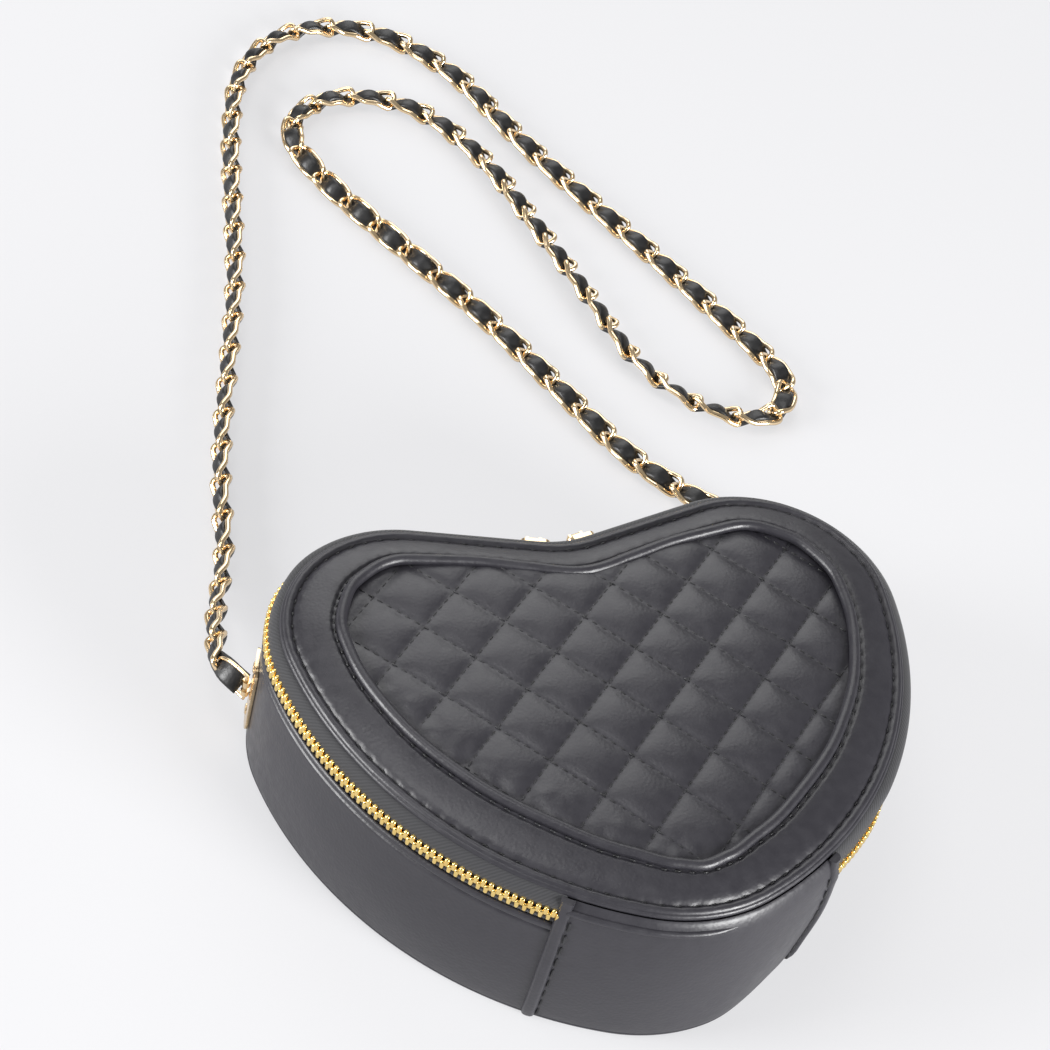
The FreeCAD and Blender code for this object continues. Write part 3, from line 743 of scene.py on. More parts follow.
# Section of the border at its drawn width: outset from the heart and height over its edge, in millimetres
border_top_shape = [(-0.5, -1.6), (-0.55, -0.7), (-0.9, 0.05), (-1.5, 0.5), (-2.2, 0.6), (-2.8, 0.42),
                    (-3.25, 0.02), (-3.6, -0.2), (-3.95, 0.1), (-4.4, 0.55), (-5.4, 1.1), (-7, 1.75),
                    (-9, 2.42), (-11, 2.98), (-12.6, 3.3), (-13.2, 3.28), (-13.6, 3.0), (-13.9, 2.92),
                    (-14.2, 3.05), (-14.7, 3.0), (-15.4, 2.0)]
border_under_shape = [(-15.2, -1.2), (-8, -1.3), (-1.6, -1.3)]
border_shape_width = 16 * MM
border_lip = 4.4 * MM
# Width of the border at distances from the tip along the heart's edge, in millimetres
border_widths = [(0, 14.9), (12, 16.0), (30, 17.4), (60, 18.7), (90, 18.2), (120, 17.3), (145, 17.0),
                 (165, 17.9), (185, 18.3), (205, 17.3), (235, 15.2), (262, 13.7), (278, 14.3), (292, 15.6)]
outer_row = -3.6 * MM
inner_row_from_rim = 2.2 * MM
border_pitch = 5.6 * MM
border_stitch = 1.8 * MM
border_thread = 0.4 * MM
pucker = 0.33 * MM
row_spread = 0.9 * MM
border_uneven = 0.25 * MM
# Changes of the border's unevenness in a metre along it, and in a millimetre across it
border_uneven_along, border_uneven_across = 60, 0.09
border_thread_sunk = 0.15 * MM
edge_piping_outset = -1.0 * MM
edge_piping_drop = 1.45 * MM
edge_piping_radius = 1.2 * MM
inner_piping_rise = 3.6 * MM
inner_piping_radius = 1.8 * MM
front_lining_top = 57.5 * MM
front_lining_outset = -1.6 * MM
flap_gap = 0.15 * MM


def border_width(run):
    """Width of the border at a run, the same on both sides and eased between the stations."""
    from_tip = min(run % heart_length, heart_length - run % heart_length)
    for (start, width), (end, next_width) in zip(border_widths, border_widths[1:]):
        if from_tip <= end * MM:
            return (width + (next_width - width) * soft_step(from_tip, start * MM, end * MM)) * MM
    return border_widths[-1][1] * MM


def stretched(outset, run):
    """An outset of the border's drawn shape, stretched to the border's width at a run but for its lip."""
    if outset > -border_lip:
        return outset
    room = (border_width(run) - border_lip) / (border_shape_width - border_lip)
    return -border_lip + (outset + border_lip) * room


def border_height(outset, run):
    """Height of the border's top over the front edge, at an outset from the heart."""
    shape = [(stretched(x * MM, run), z * MM) for x, z in border_top_shape]
    for (outer, high), (inner, next_high) in zip(shape, shape[1:]):
        if inner <= outset <= outer:
            return high + (next_high - high) * (outset - outer) / (inner - outer)
    return shape[-1][1]


def border_section(run):
    """Section of the border: the leather is drawn down at each stitch and lifts between two of them."""
    between = abs(math.sin(math.pi * run / border_pitch))
    inner_row = inner_row_from_rim - border_width(run)
    pairs = []
    for drawn_outset, height in border_top_shape:
        outset = stretched(drawn_outset * MM, run)
        near_row = min(abs(outset - outer_row), abs(outset - inner_row))
        drawn = pucker * math.exp(-(near_row / row_spread) ** 2) * (1 - between)
        drift = noise.noise(Vector((run * border_uneven_along, drawn_outset * border_uneven_across, 2)))
        pairs.append((outset, edge_height + height * MM - drawn + border_uneven * drift))
    return pairs + [(stretched(x * MM, run), edge_height + z * MM) for x, z in border_under_shape]


def across_fold(piece, material, *nodes):
    """Gives a piece of the front edge its material, hides the CAD nodes that it stands for and sets its place
    into its points.
    """
    piece.data.materials.append(material)
    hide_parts(*nodes)
    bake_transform(piece)
    return piece


def stitch_round(name, outset_at):
    """Row of stitches on the border's top, at an outset from the heart that may change with the run."""
    count = round(heart_length / border_pitch)
    places = []
    for i in range(count):
        run = border_pitch * i
        outset, outward = outset_at(run), edge_at(run)[1]
        height = edge_height + border_height(outset, run) - border_thread_sunk
        places.append((at_edge(run, outset, height), Vector((-outward.y, outward.x, 0)), Vector((0, 0, 1))))
    return stitches(name, places, border_stitch, border_thread)


border = across_fold(strip("border_leather", border_section, 0, heart_length, border_step),
                     leather, "front_border", "tip_border")
edge_piping = piping("edge_piping", lambda run: edge_piping_outset, edge_height - edge_piping_drop,
                     edge_piping_radius)
across_fold(edge_piping, leather, "front_piping", "tip_piping")
across_fold(stitch_round("border_outer_stitches", lambda run: outer_row), thread)
across_fold(stitch_round("border_inner_stitches", lambda run: inner_row_from_rim - border_width(run)), thread)
inner_piping = piping("heart_piping", lambda run: -border_width(run), edge_height + inner_piping_rise,
                      inner_piping_radius)
fit(inner_piping, leather, "black_leather", "front_flap", "inner_piping")
flap_lining = heart_sheet("flap_lining", front_lining_outset, front_lining_top - lining_thickness,
                          front_lining_top, lowest_y=fold_y + flap_gap)
fit(flap_lining, lining, "lining_fabric", "front_flap", "front_lining")
paint_nodes(board, "front_board")


# Quilted heart. Soft leather over foam is sewn through in squares on the diagonal, so that each square
# swells between its rows of stitches. Its rim goes under the inner piping.
first_row_step = 18.27 * MM
second_row_step = 18.93 * MM
first_row_turn = math.radians(42.9)
second_row_turn = math.radians(129.9)
first_row_share = -0.166
second_row_share = 0.446
quilt_reach = 130 * MM
quilt_cells = 12
quilt_under_piping = 1.1 * MM
quilt_rise = 5.0 * MM
quilt_bow = 2400 * MM
quilt_puff = 1.15 * MM
puff_power = 0.5
rim_puff_share = 0.4
rim_puff_reach = 9 * MM
quilt_leather = 1.0 * MM
wrinkle_height = 0.55 * MM
wrinkle_rim = (4 * MM, 15 * MM)
wrinkle_corner = (20 * MM, 45 * MM)
wrinkle_top = (5 * MM, 30 * MM)
# Changes of the creases in a metre, and the share of others twice as fine
wrinkle_pace, fine_wrinkle_share = 210, 0.6
quilt_pitch = 3.4 * MM
quilt_stitch = 2.1 * MM
quilt_thread = 0.24 * MM
cloth_scale = 20
cloth_frames = 20
cloth_quality = 8
cloth_mass = 0.1
cloth_bending = 8
cloth_excess = 0.002
cloth_push = 5
stitch_lift = 0.2 * MM

first_step = Vector((math.cos(first_row_turn), math.sin(first_row_turn))) * first_row_step
second_step = Vector((math.cos(second_row_turn), math.sin(second_row_turn))) * second_row_step
heart_tree = kdtree.KDTree(len(heart))
for index, (place, _) in enumerate(heart):
    heart_tree.insert((*place, 0), index)
heart_tree.balance()


def inside_rim(place):
    """Distance of a place inside the inner piping's line, below zero outside it."""
    index = heart_tree.find((*place, 0))[1]
    edge_place, outward = heart[index]
    return (edge_place - place).dot(outward) - border_width(heart_runs[index])


def quilt_base(place):
    """Height of the stitched rows: a low dome."""
    return edge_height + quilt_rise - place.length_squared / quilt_bow


def row_place(first, second):
    """Place at two counts of rows."""
    return first_step * (first + first_row_share) + second_step * (second + second_row_share)


def puffed(place, first, second):
    """Height of the quilting where a square has swollen evenly."""
    swollen = abs(math.sin(math.pi * first) * math.sin(math.pi * second)) ** puff_power
    from_rim = soft_step(inside_rim(place), 0, rim_puff_reach)
    return quilt_base(place) + quilt_puff * swollen * (rim_puff_share + (1 - rim_puff_share) * from_rim)


def wrinkle(place):
    """Small creases in the leather beside the piping at the lower left, where it is drawn in on the curve."""
    near_rim = 1 - soft_step(inside_rim(place), *wrinkle_rim)
    lower_left = soft_step(-place.x - place.y, *wrinkle_corner) * (1 - soft_step(place.y, *wrinkle_top))
    creases = noise.noise(Vector((place.x * wrinkle_pace, place.y * wrinkle_pace, 4)))
    creases += fine_wrinkle_share * noise.noise(Vector((*place * (2 * wrinkle_pace), 9)))
    return wrinkle_height * near_rim * lower_left * creases


def quilt_panel():
    """Grid of the quilting, aligned with its rows and cut off under the inner piping, with the indices of
    the points that the stitches and the piping hold."""
    count = math.ceil(quilt_reach / first_row_step) * quilt_cells
    kept, points, held = {}, [], []
    for i in range(-count, count + 1):
        for j in range(-count, count + 1):
            first, second = i / quilt_cells, j / quilt_cells
            place = row_place(first, second)
            within = inside_rim(place)
            if within > -quilt_under_piping:
                if i % quilt_cells == 0 or j % quilt_cells == 0 or within < inner_piping_radius / 2:
                    held.append(len(points))
                kept[i, j] = len(points)
                points.append(Vector((*place, puffed(place, first, second))))
    faces = []
    for i, j in kept:
        corners = [(i, j), (i + 1, j), (i + 1, j + 1), (i, j + 1)]
        if all(corner in kept for corner in corners):
            faces.append(tuple(kept[corner] for corner in corners))
    return make_piece("quilted_heart", points, faces, crease=180), held


def swell_cloth(piece, held):
    """Lets the quilting swell as sewn leather over foam: held at its stitches, cut a little too large and
    pushed up from below. It is simulated at twenty times its size, where cloth settings behave."""
    scene, mesh = bpy.context.scene, piece.data
    mesh.transform(Matrix.Scale(cloth_scale, 4))
    piece.vertex_groups.new(name="held").add(held, 1, "REPLACE")
    cloth = piece.modifiers.new("cloth", "CLOTH")
    settings = cloth.settings
    settings.vertex_group_mass = "held"
    settings.quality = cloth_quality
    settings.mass = cloth_mass
    settings.bending_stiffness = cloth_bending
    settings.shrink_min = -cloth_excess
    settings.use_pressure = True
    settings.uniform_pressure_force = cloth_push
    settings.effector_weights.gravity = 0
    for frame_number in range(1, cloth_frames + 1):
        scene.frame_set(frame_number)
    swollen = piece.evaluated_get(bpy.context.evaluated_depsgraph_get()).to_mesh()
    places = [vertex.co / cloth_scale for vertex in swollen.vertices]
    piece.modifiers.remove(cloth)
    for vertex, place in zip(mesh.vertices, places):
        vertex.co = place + Vector((0, 0, wrinkle(place.xy)))
    scene.frame_set(1)


def quilt_rows():
    """Stitches along both families of rows, inside the inner piping."""
    places = []
    reach = math.ceil(quilt_reach / first_row_step)
    for step, along_first in ((first_row_step, True), (second_row_step, False)):
        along = (first_step if along_first else second_step).normalized()
        count = round(2 * quilt_reach / quilt_pitch)
        for row in range(-reach, reach + 1):
            for i in range(-count // 2, count // 2):
                passed = (i + 0.5) * quilt_pitch / step
                place = row_place(passed, row) if along_first else row_place(row, passed)
                if inside_rim(place) > inner_piping_radius:
                    point = Vector((*place, quilt_base(place) + stitch_lift))
                    places.append((point, Vector((*along, 0)), Vector((0, 0, 1))))
    return places


def open_foam():
    """Open cell polyurethane foam: pale, matt and full of small pits."""
    cell = 0.8 * MM
    material, shader = new_material("open cell foam")
    place = add_node(material, "ShaderNodeTexCoord").outputs["Object"]
    pits = add_node(material, "ShaderNodeTexVoronoi", Vector=place, Scale=1 / cell).outputs["Distance"]
    raised = add_node(material, "ShaderNodeBump", Height=pits, Strength=0.6, Distance=0.4 * MM)
    # Painted shade: the foam's colour is darker at the bottom of each pit, where the bump is lowest.
    tint = add_node(material, "ShaderNodeMix", {"data_type": "RGBA"}, Factor=pits,
                    input_6=linear("#b9b2a2"), input_7=linear("#dcd6c8"))
    set_inputs(material, shader, Base_Color=tint.outputs["Result"], Normal=raised.outputs["Normal"],
               Roughness=0.95)
    return material


quilt, held_points = quilt_panel()
swell_cloth(quilt, held_points)
rounded(quilt)
shell = quilt.modifiers.new("leather", "SOLIDIFY")
shell.thickness = quilt_leather
shell.offset = -1
fit(quilt, leather, "black_leather", "front_flap", "quilted_panel")
quilt_seams = stitches("quilt_stitches", quilt_rows(), quilt_stitch, quilt_thread)
fit(quilt_seams, thread, "black_leather", "front_flap")
paint_nodes(open_foam(), "quilt_foam", "border_padding")


# Side plates and rings. A thin gold plated plate is riveted to each lobe through the wall, with washers
# inside, and two knuckles on it hold the bar of a D shaped wire ring, which the strap draws to the back.
plate_face = lobe_radius + 4.6 * MM
plate_height = 22.5 * MM
plate_half_width = 6.5 * MM
plate_half_tall = 14.5 * MM
plate_thick = 1.0 * MM
plate_corner = 3 * MM
rivet_apart = 10.5 * MM
rivet_radius = 1.9 * MM
rivet_rise = 0.4 * MM
rivet_shoulder = 0.3
rivet_top_share = 0.7
rivet_sides = 20
ring_bar = Vector((104.44, 51.6464, 22.5)) * MM
ring_turn = plate_turn + math.radians(44)
ring_reach = 13 * MM
ring_half_tall = 5.4 * MM
ring_wire = 0.65 * MM
ring_fullness = 0.75
bow_steps = 32
bar_steps = 8
knuckle_radius = 1.4 * MM
knuckle_tall = 2.2 * MM

ring_out = Vector((math.cos(ring_turn), math.sin(ring_turn), 0))
plate_out = Vector((math.cos(plate_turn), math.sin(plate_turn), 0))


def on_side(vector, side):
    """A vector given for the right, on the side that is asked for: 1 is the right and -1 the left."""
    return Vector((vector.x * side, vector.y, vector.z))


def side_plate(name, side):
    """Plate bent to the lobe, with round corners."""
    columns, rows = 9, 25
    points, faces = [], []
    for face in (plate_face - plate_thick, plate_face):
        for i in range(rows):
            z = plate_half_tall * math.sin(math.pi * (i / (rows - 1) - 0.5))
            past = max(abs(z) - (plate_half_tall - plate_corner), 0)
            half = plate_half_width - plate_corner + math.sqrt(max(plate_corner ** 2 - past ** 2, 0))
            for j in range(columns):
                turn = plate_turn + half * (2 * j / (columns - 1) - 1) / plate_face
                place = lobe_centre + Vector((math.cos(turn), math.sin(turn))) * face
                points.append(Vector((place.x * side, place.y, plate_height + z)))
    sheet = rows * columns
    for i in range(rows - 1):
        for j in range(columns - 1):
            corner = i * columns + j
            quad = (corner, corner + 1, corner + columns + 1, corner + columns)
            faces += [quad, tuple(sheet + k for k in quad)]
    rim = list(range(columns)) + [i * columns + columns - 1 for i in range(1, rows)]
    rim += list(range(sheet - 2, sheet - columns - 1, -1)) + [i * columns for i in range(rows - 2, 0, -1)]
    faces += [(a, b, sheet + b, sheet + a) for a, b in zip(rim, rim[1:] + rim[:1])]
    return make_piece(name, points, faces)


def round_wire(line, radius, closed, sides=10):
    """Points and faces of a round wire along a line."""
    points, faces, across = [], [], None
    count = len(line)
    for i, place in enumerate(line):
        if closed:
            before, after = line[i - 1], line[(i + 1) % count]
        else:
            before, after = line[max(i - 1, 0)], line[min(i + 1, count - 1)]
        along = (after - before).normalized()
        across = across or along.orthogonal()
        across = (across - along * across.dot(along)).normalized()
        beside = along.cross(across)
        for j in range(sides):
            turn = 2 * math.pi * j / sides
            points.append(place + (across * math.cos(turn) + beside * math.sin(turn)) * radius)
    last = (count - 1) * sides
    offset = min(range(sides), key=lambda j: (points[j] - points[last]).length)
    for i in range(count if closed else count - 1):
        shift = offset if i == count - 1 else 0
        here, there = i * sides, (i + 1) % count * sides
        for j in range(sides):
            beside = (j + 1) % sides
            facing, facing_beside = there + (j + shift) % sides, there + (beside + shift) % sides
            faces.append((here + j, here + beside, facing_beside, facing))
    if not closed:
        faces += [tuple(range(sides)), tuple(range(last, last + sides))]
    return points, faces


def ring_line(side):
    """Centre line of a ring: a straight bar in the knuckles and a long round bow."""
    out, bar = on_side(ring_out, side), on_side(ring_bar, side)
    bow = []
    for i in range(bow_steps + 1):
        turn = math.pi * (i / bow_steps - 0.5)
        reach = ring_reach * math.cos(turn) ** ring_fullness
        bow.append(bar + out * reach + Vector((0, 0, ring_half_tall * math.sin(turn))))
    return bow + [bar + Vector((0, 0, ring_half_tall * (1 - 2 * i / bar_steps))) for i in range(1, bar_steps)]


def rivet_head(centre, outward, radius, rise):
    """Points and faces of a low rivet head with a round edge."""
    line = [centre - outward * rise, centre + outward * (rise * rivet_shoulder), centre + outward * rise]
    points, faces = round_wire(line, radius, closed=False, sides=rivet_sides)
    top = points[-rivet_sides:]
    points[-rivet_sides:] = [line[-1] + (point - line[-1]) * rivet_top_share for point in top]
    return points, faces


rivet_heads = []
for side, name in ((-1, "left"), (1, "right")):
    fit(side_plate("plate_" + name, side), gold, "gilt_metal", "bag_body", "side_plate_" + name)
    fit(make_piece("ring_" + name, *round_wire(ring_line(side), ring_wire, closed=True)),
        gold, "gilt_metal", "ring_" + name, "strap_ring_" + name)
    bar = on_side(ring_bar, side)
    knuckles = []
    for middle in (-knuckle_tall, knuckle_tall):
        ends = [bar + Vector((0, 0, middle + knuckle_tall * share)) for share in (-0.5, 0, 0.5)]
        knuckles.append(round_wire(ends, knuckle_radius, closed=False))
    fit(make_piece("knuckles_" + name, *join_shapes(knuckles)), gold, "gilt_metal", "bag_body")
    outward = on_side(plate_out, side)
    middle = on_side(Vector((*lobe_centre, plate_height)), side) + outward * plate_face
    for height in (-rivet_apart, rivet_apart):
        rivet_heads.append(rivet_head(middle + Vector((0, 0, height)), outward, rivet_radius, rivet_rise))
fit(make_piece("rivet_heads", *join_shapes(rivet_heads)), gold, "gilt_metal", "bag_body", "plate_rivets")
paint_nodes(gold, "rivet_washers")


# Strap. A leather lace is drawn through a chain of twisted gold links and lies loose in two bights on the
# floor. It puffs up inside each link and goes under the crossed wires where two links join.
# Its line, from the left ring to the right one, in millimetres
strap_route = [
    (-110.61, 63.01, 20.65), (-108.24, 73.37, 17.8), (-104.5, 88.5, 12.4), (-98.7, 104.0, 7.4),
    (-92.0, 123.0, 4.7), (-87.0, 152.0, 4.7), (-79.0, 182.0, 4.7), (-68.0, 217.0, 4.7),
    (-57.0, 254.0, 4.7), (-49.0, 294.0, 4.7), (-40.0, 336.0, 4.7), (-28.0, 371.0, 4.7),
    (-2.0, 395.0, 4.7), (34.0, 393.0, 4.7), (61.0, 364.0, 4.7), (74.0, 323.0, 4.7),
    (93.0, 282.0, 4.7), (113.0, 241.0, 4.7), (129.0, 205.0, 4.7), (140.0, 178.0, 4.7),
    (126.0, 159.0, 4.7), (102.0, 165.0, 4.7), (82.0, 191.0, 4.7), (76.0, 226.0, 4.7),
    (67.0, 268.0, 4.7), (57.0, 314.0, 4.7), (36.0, 347.0, 4.7), (2.0, 353.0, 4.7),
    (-20.0, 333.0, 4.7), (-11.0, 301.0, 4.7), (10.0, 263.0, 4.7), (32.0, 223.0, 4.7),
    (50.0, 180.0, 4.7), (64.0, 146.0, 4.7), (82.0, 124.0, 5.2), (96.5, 106.0, 7.8),
    (104.5, 88.5, 12.6), (108.24, 73.37, 17.8), (110.61, 63.01, 20.65),
]
link_pitch = 16.2 * MM
link_half_length = 9.5 * MM
link_half_width = 3.35 * MM
link_corner = 2.0 * MM
link_bulge = 0.07
link_wire = 1.0 * MM
link_twist = math.radians(42)
link_flat = 1.5 * MM
link_side_points = 14
link_corner_points = 6
end_margin = 7 * MM
lace_half_width = 3.05 * MM
lace_half_thick = 1.2 * MM
lace_rise = 1.2 * MM
lace_dip = 2.4 * MM
lace_bend = 0.7
lace_pinch = 0.14
lace_pinch_bend = 0.4
lace_thin_share = 0.9
lace_full_share = 0.2
lace_side_power = 0.7
lace_face_power = 0.6
lace_sides = 14
lace_step = 0.9 * MM
end_run = 29 * MM
rolled_lift = 0.7 * MM
floor_heights = (5 * MM, 9 * MM)
# Roll of the chain about its own line, in degrees, at distances along it in millimetres
strap_rolls = [(0, -80), (40, -75), (200, -68), (290, -60), (345, -25), (390, 5), (640, 8), (690, 35),
               (730, 35), (790, 18), (850, 5), (900, 10), (945, 42), (990, 45), (1030, 20), (1070, 5),
               (1160, 12), (1232, 70)]


def strap_line():
    """Smooth line of the strap: points read from a NURBS spline over the route's points."""
    curve = bpy.data.curves.new("strap_line", "CURVE")
    curve.dimensions = "3D"
    spline = curve.splines.new("NURBS")
    spline.points.add(len(strap_route) - 1)
    for point, place in zip(spline.points, strap_route):
        point.co = (*(Vector(place) * MM), 1)
    spline.order_u = 3
    spline.use_endpoint_u = True
    spline.resolution_u = 30
    carrier = bpy.data.objects.new("strap_line", curve)
    mesh = bpy.data.meshes.new_from_object(carrier)
    points = [vertex.co.copy() for vertex in mesh.vertices]
    bpy.data.objects.remove(carrier)
    bpy.data.meshes.remove(mesh)
    return points


line = strap_line()
line_runs = [0]
for before, after in zip(line, line[1:]):
    line_runs.append(line_runs[-1] + (after - before).length)
strap_length = line_runs[-1]


def strap_roll(run):
    """Roll of the chain at a run, eased between the stations."""
    for (start, roll), (end, next_roll) in zip(strap_rolls, strap_rolls[1:]):
        if run <= end * MM:
            return math.radians(roll + (next_roll - roll) * soft_step(run, start * MM, end * MM))
    return math.radians(strap_rolls[-1][1])


def strap_at(run):
    """Point on the strap with its ways along, across and up, turned with the chain's roll."""
    after = min(max(bisect.bisect_right(line_runs, run), 1), len(line) - 1)
    share = (run - line_runs[after - 1]) / (line_runs[after] - line_runs[after - 1])
    point = line[after - 1].lerp(line[after], share)
    along = (line[min(after + 2, len(line) - 1)] - line[max(after - 3, 0)]).normalized()
    level = Vector((0, 0, 1)).cross(along).normalized()
    upright = along.cross(level)
    roll = strap_roll(run)
    across = level * math.cos(roll) + upright * math.sin(roll)
    on_floor = 1 - soft_step(point.z, *floor_heights)
    point = point + Vector((0, 0, 1)) * (rolled_lift * abs(math.sin(roll)) * on_floor)
    return point, along, across, along.cross(across)


link_count = math.floor((strap_length - 2 * end_margin) / link_pitch) + 1
first_link = (strap_length - (link_count - 1) * link_pitch) / 2


def link_ring(centre):
    """Centre line of one link: a long loop, flat and bowed out in its middle, with blunt twisted ends."""
    straight, flat = link_half_length - link_corner, link_half_width - link_corner
    side_step = 2 * straight / link_side_points
    loop = [(-straight + side_step * i, -link_half_width) for i in range(link_side_points)]
    for start, middle in ((-1, -flat), (0, flat)):
        for i in range(link_corner_points):
            turn = math.pi / 2 * (start + i / (link_corner_points - 1))
            loop.append((straight + link_corner * math.cos(turn), middle + link_corner * math.sin(turn)))
    loop += [(-x, -y) for x, y in loop]
    points = []
    for x, y in loop:
        run = min(max(centre + x, 0), strap_length)
        point, along, across, up = strap_at(run)
        angle = math.copysign(link_twist * soft_step(abs(x), link_flat, link_half_length), x)
        y *= 1 + link_bulge * (1 - (x / link_half_length) ** 2)
        past = centre + x - run
        points.append(point + along * past + across * (y * math.cos(angle)) + up * (y * math.sin(angle)))
    return points


def chain(name, centres):
    """Links of round wire at the given places along the strap."""
    wires = [round_wire(link_ring(centre), link_wire, closed=True) for centre in centres]
    return make_piece(name, *join_shapes(wires))


def lace_weave(run):
    """Height of the lace over the strap's line: up inside each link, down where two links join."""
    share = (run - first_link) / link_pitch
    wave = (1 + math.cos(2 * math.pi * share)) / 2
    risen = wave ** lace_bend
    return lace_rise * risen - lace_dip * (1 - risen), wave


def flat_oval(half_width, half_thick, side_power, face_power):
    """Section of a flat lace as (across, up) pairs. The lower a power, the squarer it is that way."""
    pairs = []
    for i in range(lace_sides):
        turn = 2 * math.pi * i / lace_sides
        x = math.copysign(abs(math.cos(turn)) ** side_power, math.cos(turn)) * half_width
        z = math.copysign(abs(math.sin(turn)) ** face_power, math.sin(turn)) * half_thick
        pairs.append((x, z))
    return pairs


def lace_ring(run):
    """Section of the lace at a run: a flat oval that is fuller inside a link."""
    point, _, across, up = strap_at(run)
    height, wave = lace_weave(run)
    width = lace_half_width * (1 - lace_pinch + lace_pinch * wave ** lace_pinch_bend)
    thick = lace_half_thick * (lace_thin_share + lace_full_share * wave)
    section = flat_oval(width, thick, lace_side_power, lace_face_power)
    return [point + across * x + up * (height + z) for x, z in section]


def tube(name, rings):
    """Closed piece through a list of sections with as many points each."""
    sides = len(rings[0])
    points = [point for ring in rings for point in ring]
    faces = []
    for i in range(len(rings) - 1):
        for j in range(sides):
            beside = (j + 1) % sides
            faces.append((i * sides + j, i * sides + beside, (i + 1) * sides + beside, (i + 1) * sides + j))
    last = (len(rings) - 1) * sides
    faces += [tuple(range(sides)), tuple(range(last, last + sides))]
    return make_piece(name, points, faces)


lace_leather = satin_leather("black lace leather", "#0e0e0f", "#161617", 0.36, 0.48)
links_at = [first_link + i * link_pitch for i in range(link_count)]
lace_runs = [end_run + i * lace_step for i in range(round((strap_length - 2 * end_run) / lace_step) + 1)]
lace = tube("lace", [lace_ring(run) for run in lace_runs])
fit(lace, lace_leather, "black_leather", "bag_body", "strap_lace")
links = chain("chain", links_at[2:-2])
fit(links, gold, "gilt_metal", "bag_body", "strap_chain")


# Strap ends. The lace is doubled through each ring and held by the first links. The rest of the strap stays
# on the floor.
fold_start = 1.6 * MM
fold_end = 12 * MM
fold_lean = math.radians(50)
fold_bow = 1.6 * MM
fold_half_width = 4.0 * MM
fold_half_thick = 1.2 * MM
fold_fullness = 0.7
fold_side_power = 0.5
fold_face_power = 0.8
# Shares of the fold's length: its sections, its round nose and the stretch where it narrows to the lace
fold_shares = (0, 0.02, 0.06, 0.13, 0.25, 0.4, 0.55, 0.7, 0.85, 1)
fold_nose = 0.13
fold_nose_least = 0.02
fold_narrows = (0.6, 1)
fold_to_tail = 0.5
swing_run = 28 * MM
tail_from = 5 * MM


def reordered(ring, order):
    """A section's points begun at another one, and taken the other way round where the order says -1."""
    start, way = order
    return (ring[start:] + ring[:start])[::way]


def folded_end(name, side, runs):
    """End of the lace: a wide fold that lies bowed in the ring and narrows into the lace."""
    out, bar = on_side(ring_out, side), on_side(ring_bar, side)
    away = Vector((ring_out.y * side, -ring_out.x, 0))
    wide = Vector((0, 0, 1)) * math.cos(fold_lean) - away * math.sin(fold_lean)
    flat = away * math.cos(fold_lean) + Vector((0, 0, 1)) * math.sin(fold_lean)
    tail = [lace_ring(run) for run in runs]
    tail_middle = sum(tail[0], Vector()) / len(tail[0])
    rings = []
    for share in fold_shares:
        narrowed = soft_step(share, *fold_narrows)
        middle = bar + out * (fold_start + (fold_end - fold_start) * share)
        middle = middle + flat * (fold_bow * math.sin(math.pi * share) ** fold_fullness)
        middle = middle.lerp(tail_middle, fold_to_tail * narrowed)
        half_width = fold_half_width + (lace_half_width - fold_half_width) * narrowed
        thick = fold_half_thick * math.sqrt(1 - (1 - min(share / fold_nose, 1)) ** 2 + fold_nose_least)
        section = flat_oval(half_width, thick, fold_side_power, fold_face_power)
        rings.append([middle + wide * x + flat * z for x, z in section])

    def mismatch(order):
        """How far apart the fold's last section and the tail's first are, point by point."""
        return sum((a - b).length for a, b in zip(rings[-1], reordered(tail[0], order)))

    best = min([(start, way) for start in range(lace_sides) for way in (1, -1)], key=mismatch)
    return tube(name, rings + [reordered(ring, best) for ring in tail])


end_runs = [tail_from + i * lace_step for i in range(round((end_run - tail_from) / lace_step) + 2)]
for side, name, runs, centres in ((-1, "left", end_runs, links_at[:2]),
                                  (1, "right", [strap_length - run for run in end_runs], links_at[-2:])):
    near, away = strap_at(runs[0])[0], strap_at(swing_run if side < 0 else strap_length - swing_run)[0]
    fold = folded_end("folded_end_" + name, side, runs)
    loose_links = chain("end_links_" + name, centres)
    for piece, material, slot in ((fold, lace_leather, "black_leather"), (loose_links, gold, "gilt_metal")):
        piece.data.materials.append(material)
        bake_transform(piece)
    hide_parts("strap_end_" + name)
[strap_at(run)[0] for run in lace_runs]


# Studio. The bag lies on a pale sheet of paper under soft light: a broad lamp behind it, one above, two
# at the left and the front for the walls, and an even grey surround.
paper_size = 20
paper_colour = "#f6f6f8"
paper_own_share = 0.62
paper_mirrored_share = 0.25
surround_light = 0.30
# Each lamp's name, place and width in metres, and power in watts
lamps = [("back_lamp", (0.35, 1.6, 1.1), 1.7, 16), ("top_lamp", (-0.5, 0.2, 1.7), 0.8, 7),
         ("left_lamp", (-1.5, 0.25, 0.55), 0.9, 38), ("front_lamp", (0.95, -1.5, 0.58), 0.9, 72)]
lamp_aim = Vector((0, 0.05, 0.03))


def seen_share(material, share, mirrored_share):
    """Share for what the camera sees, a lesser one for what a reflection or a clear pane shows, and 0 for
    the light that falls on things."""
    rays = add_node(material, "ShaderNodeLightPath").outputs
    mirrored = add_node(material, "ShaderNodeMath", {"operation": "MAXIMUM"}, input_0=rays["Is Glossy Ray"],
                        input_1=rays["Is Transmission Ray"]).outputs[0]
    lesser = add_node(material, "ShaderNodeMath", {"operation": "MULTIPLY"}, input_0=mirrored,
                      input_1=mirrored_share).outputs[0]
    whole = add_node(material, "ShaderNodeMath", {"operation": "MULTIPLY"}, input_0=rays["Is Camera Ray"],
                     input_1=share).outputs[0]
    return add_node(material, "ShaderNodeMath", {"operation": "MAXIMUM"}, input_0=whole,
                    input_1=lesser).outputs[0]


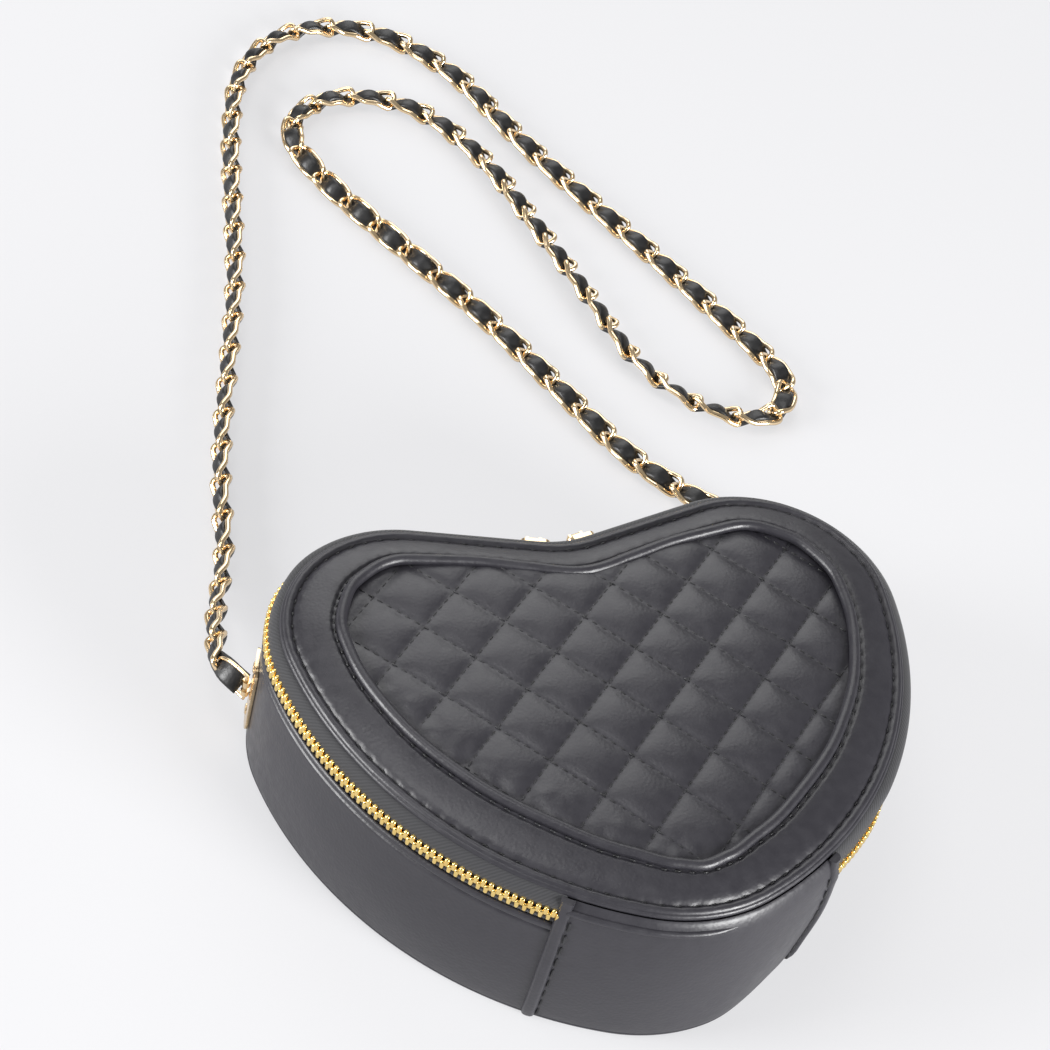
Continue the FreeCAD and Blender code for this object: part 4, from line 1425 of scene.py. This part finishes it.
def studio_paper():
    """Smooth white paper: matt, with a barely seen tooth. It keeps its own pale colour where it is looked
    at, and the rest follows the light, so that the bag's shadow lies on it."""
    tooth = 1.2 * MM
    material, shader = new_material("studio paper")
    place = add_node(material, "ShaderNodeTexCoord").outputs["Object"]
    fibre = add_node(material, "ShaderNodeTexNoise", Vector=place, Scale=1 / tooth, Detail=2)
    tint = add_node(material, "ShaderNodeMix", {"data_type": "RGBA"}, Factor=fibre.outputs["Fac"],
                    input_6=linear("#bfbfc1"), input_7=linear("#c2c2c4"))
    set_inputs(material, shader, Base_Color=tint.outputs["Result"], Roughness=0.9, Specular_IOR_Level=0.1)
    own = add_node(material, "ShaderNodeEmission", Color=linear(paper_colour), Strength=1)
    share = seen_share(material, paper_own_share, paper_mirrored_share)
    both = add_node(material, "ShaderNodeMixShader", input_0=share, input_1=shader.outputs[0],
                    input_2=own.outputs[0])
    set_inputs(material, material.node_tree.nodes["Material Output"], Surface=both.outputs[0])
    return material


half = paper_size / 2
corners = [(-half, -half, 0), (half, -half, 0), (half, half, 0), (-half, half, 0)]
paper = make_piece("paper", corners, [(0, 1, 2, 3)])
paper.data.materials.append(studio_paper())

world = bpy.data.worlds.new("surround")
world.use_nodes = True
bpy.context.scene.world = world
soft_light = world.node_tree.nodes["Background"]
soft_light.inputs["Strength"].default_value = surround_light
soft_light.inputs["Color"].default_value = (1, 1, 1, 1)
for name, place, size, power in lamps:
    light = bpy.data.lights.new(name, "AREA")
    light.shape = "DISK"
    light.size = size
    light.energy = power
    lamp = bpy.data.objects.new(name, light)
    lamp.location = place
    lamp.rotation_euler = (lamp_aim - Vector(place)).to_track_quat("-Z", "Y").to_euler()
    bpy.context.scene.collection.objects.link(lamp)


# Camera. It looks down on the bag from the front left, turned a little, as the photograph was taken.
view_aim = Vector((2.87, 100.10, 30)) * MM
view_distance = 928.2 * MM
view_azimuth = math.radians(29.626)
view_elevation = math.radians(46.147)
view_roll = math.radians(16.660)
view_lens = 94.97

ahead = Vector((math.sin(view_azimuth) * math.cos(view_elevation),
                math.cos(view_azimuth) * math.cos(view_elevation), -math.sin(view_elevation)))
level_right = ahead.cross(Vector((0, 0, 1))).normalized()
level_up = level_right.cross(ahead)
view_right = level_right * math.cos(view_roll) + level_up * math.sin(view_roll)
view_up = view_right.cross(ahead)
camera = bpy.data.objects.new("camera", bpy.data.cameras.new("camera"))
camera.data.lens = view_lens
turn = Matrix((view_right, view_up, -ahead)).transposed()
camera.matrix_world = Matrix.Translation(view_aim - ahead * view_distance) @ turn.to_4x4()
bpy.context.scene.collection.objects.link(camera)
bpy.context.scene.camera = camera
bpy.context.scene.view_settings.view_transform = "Standard"
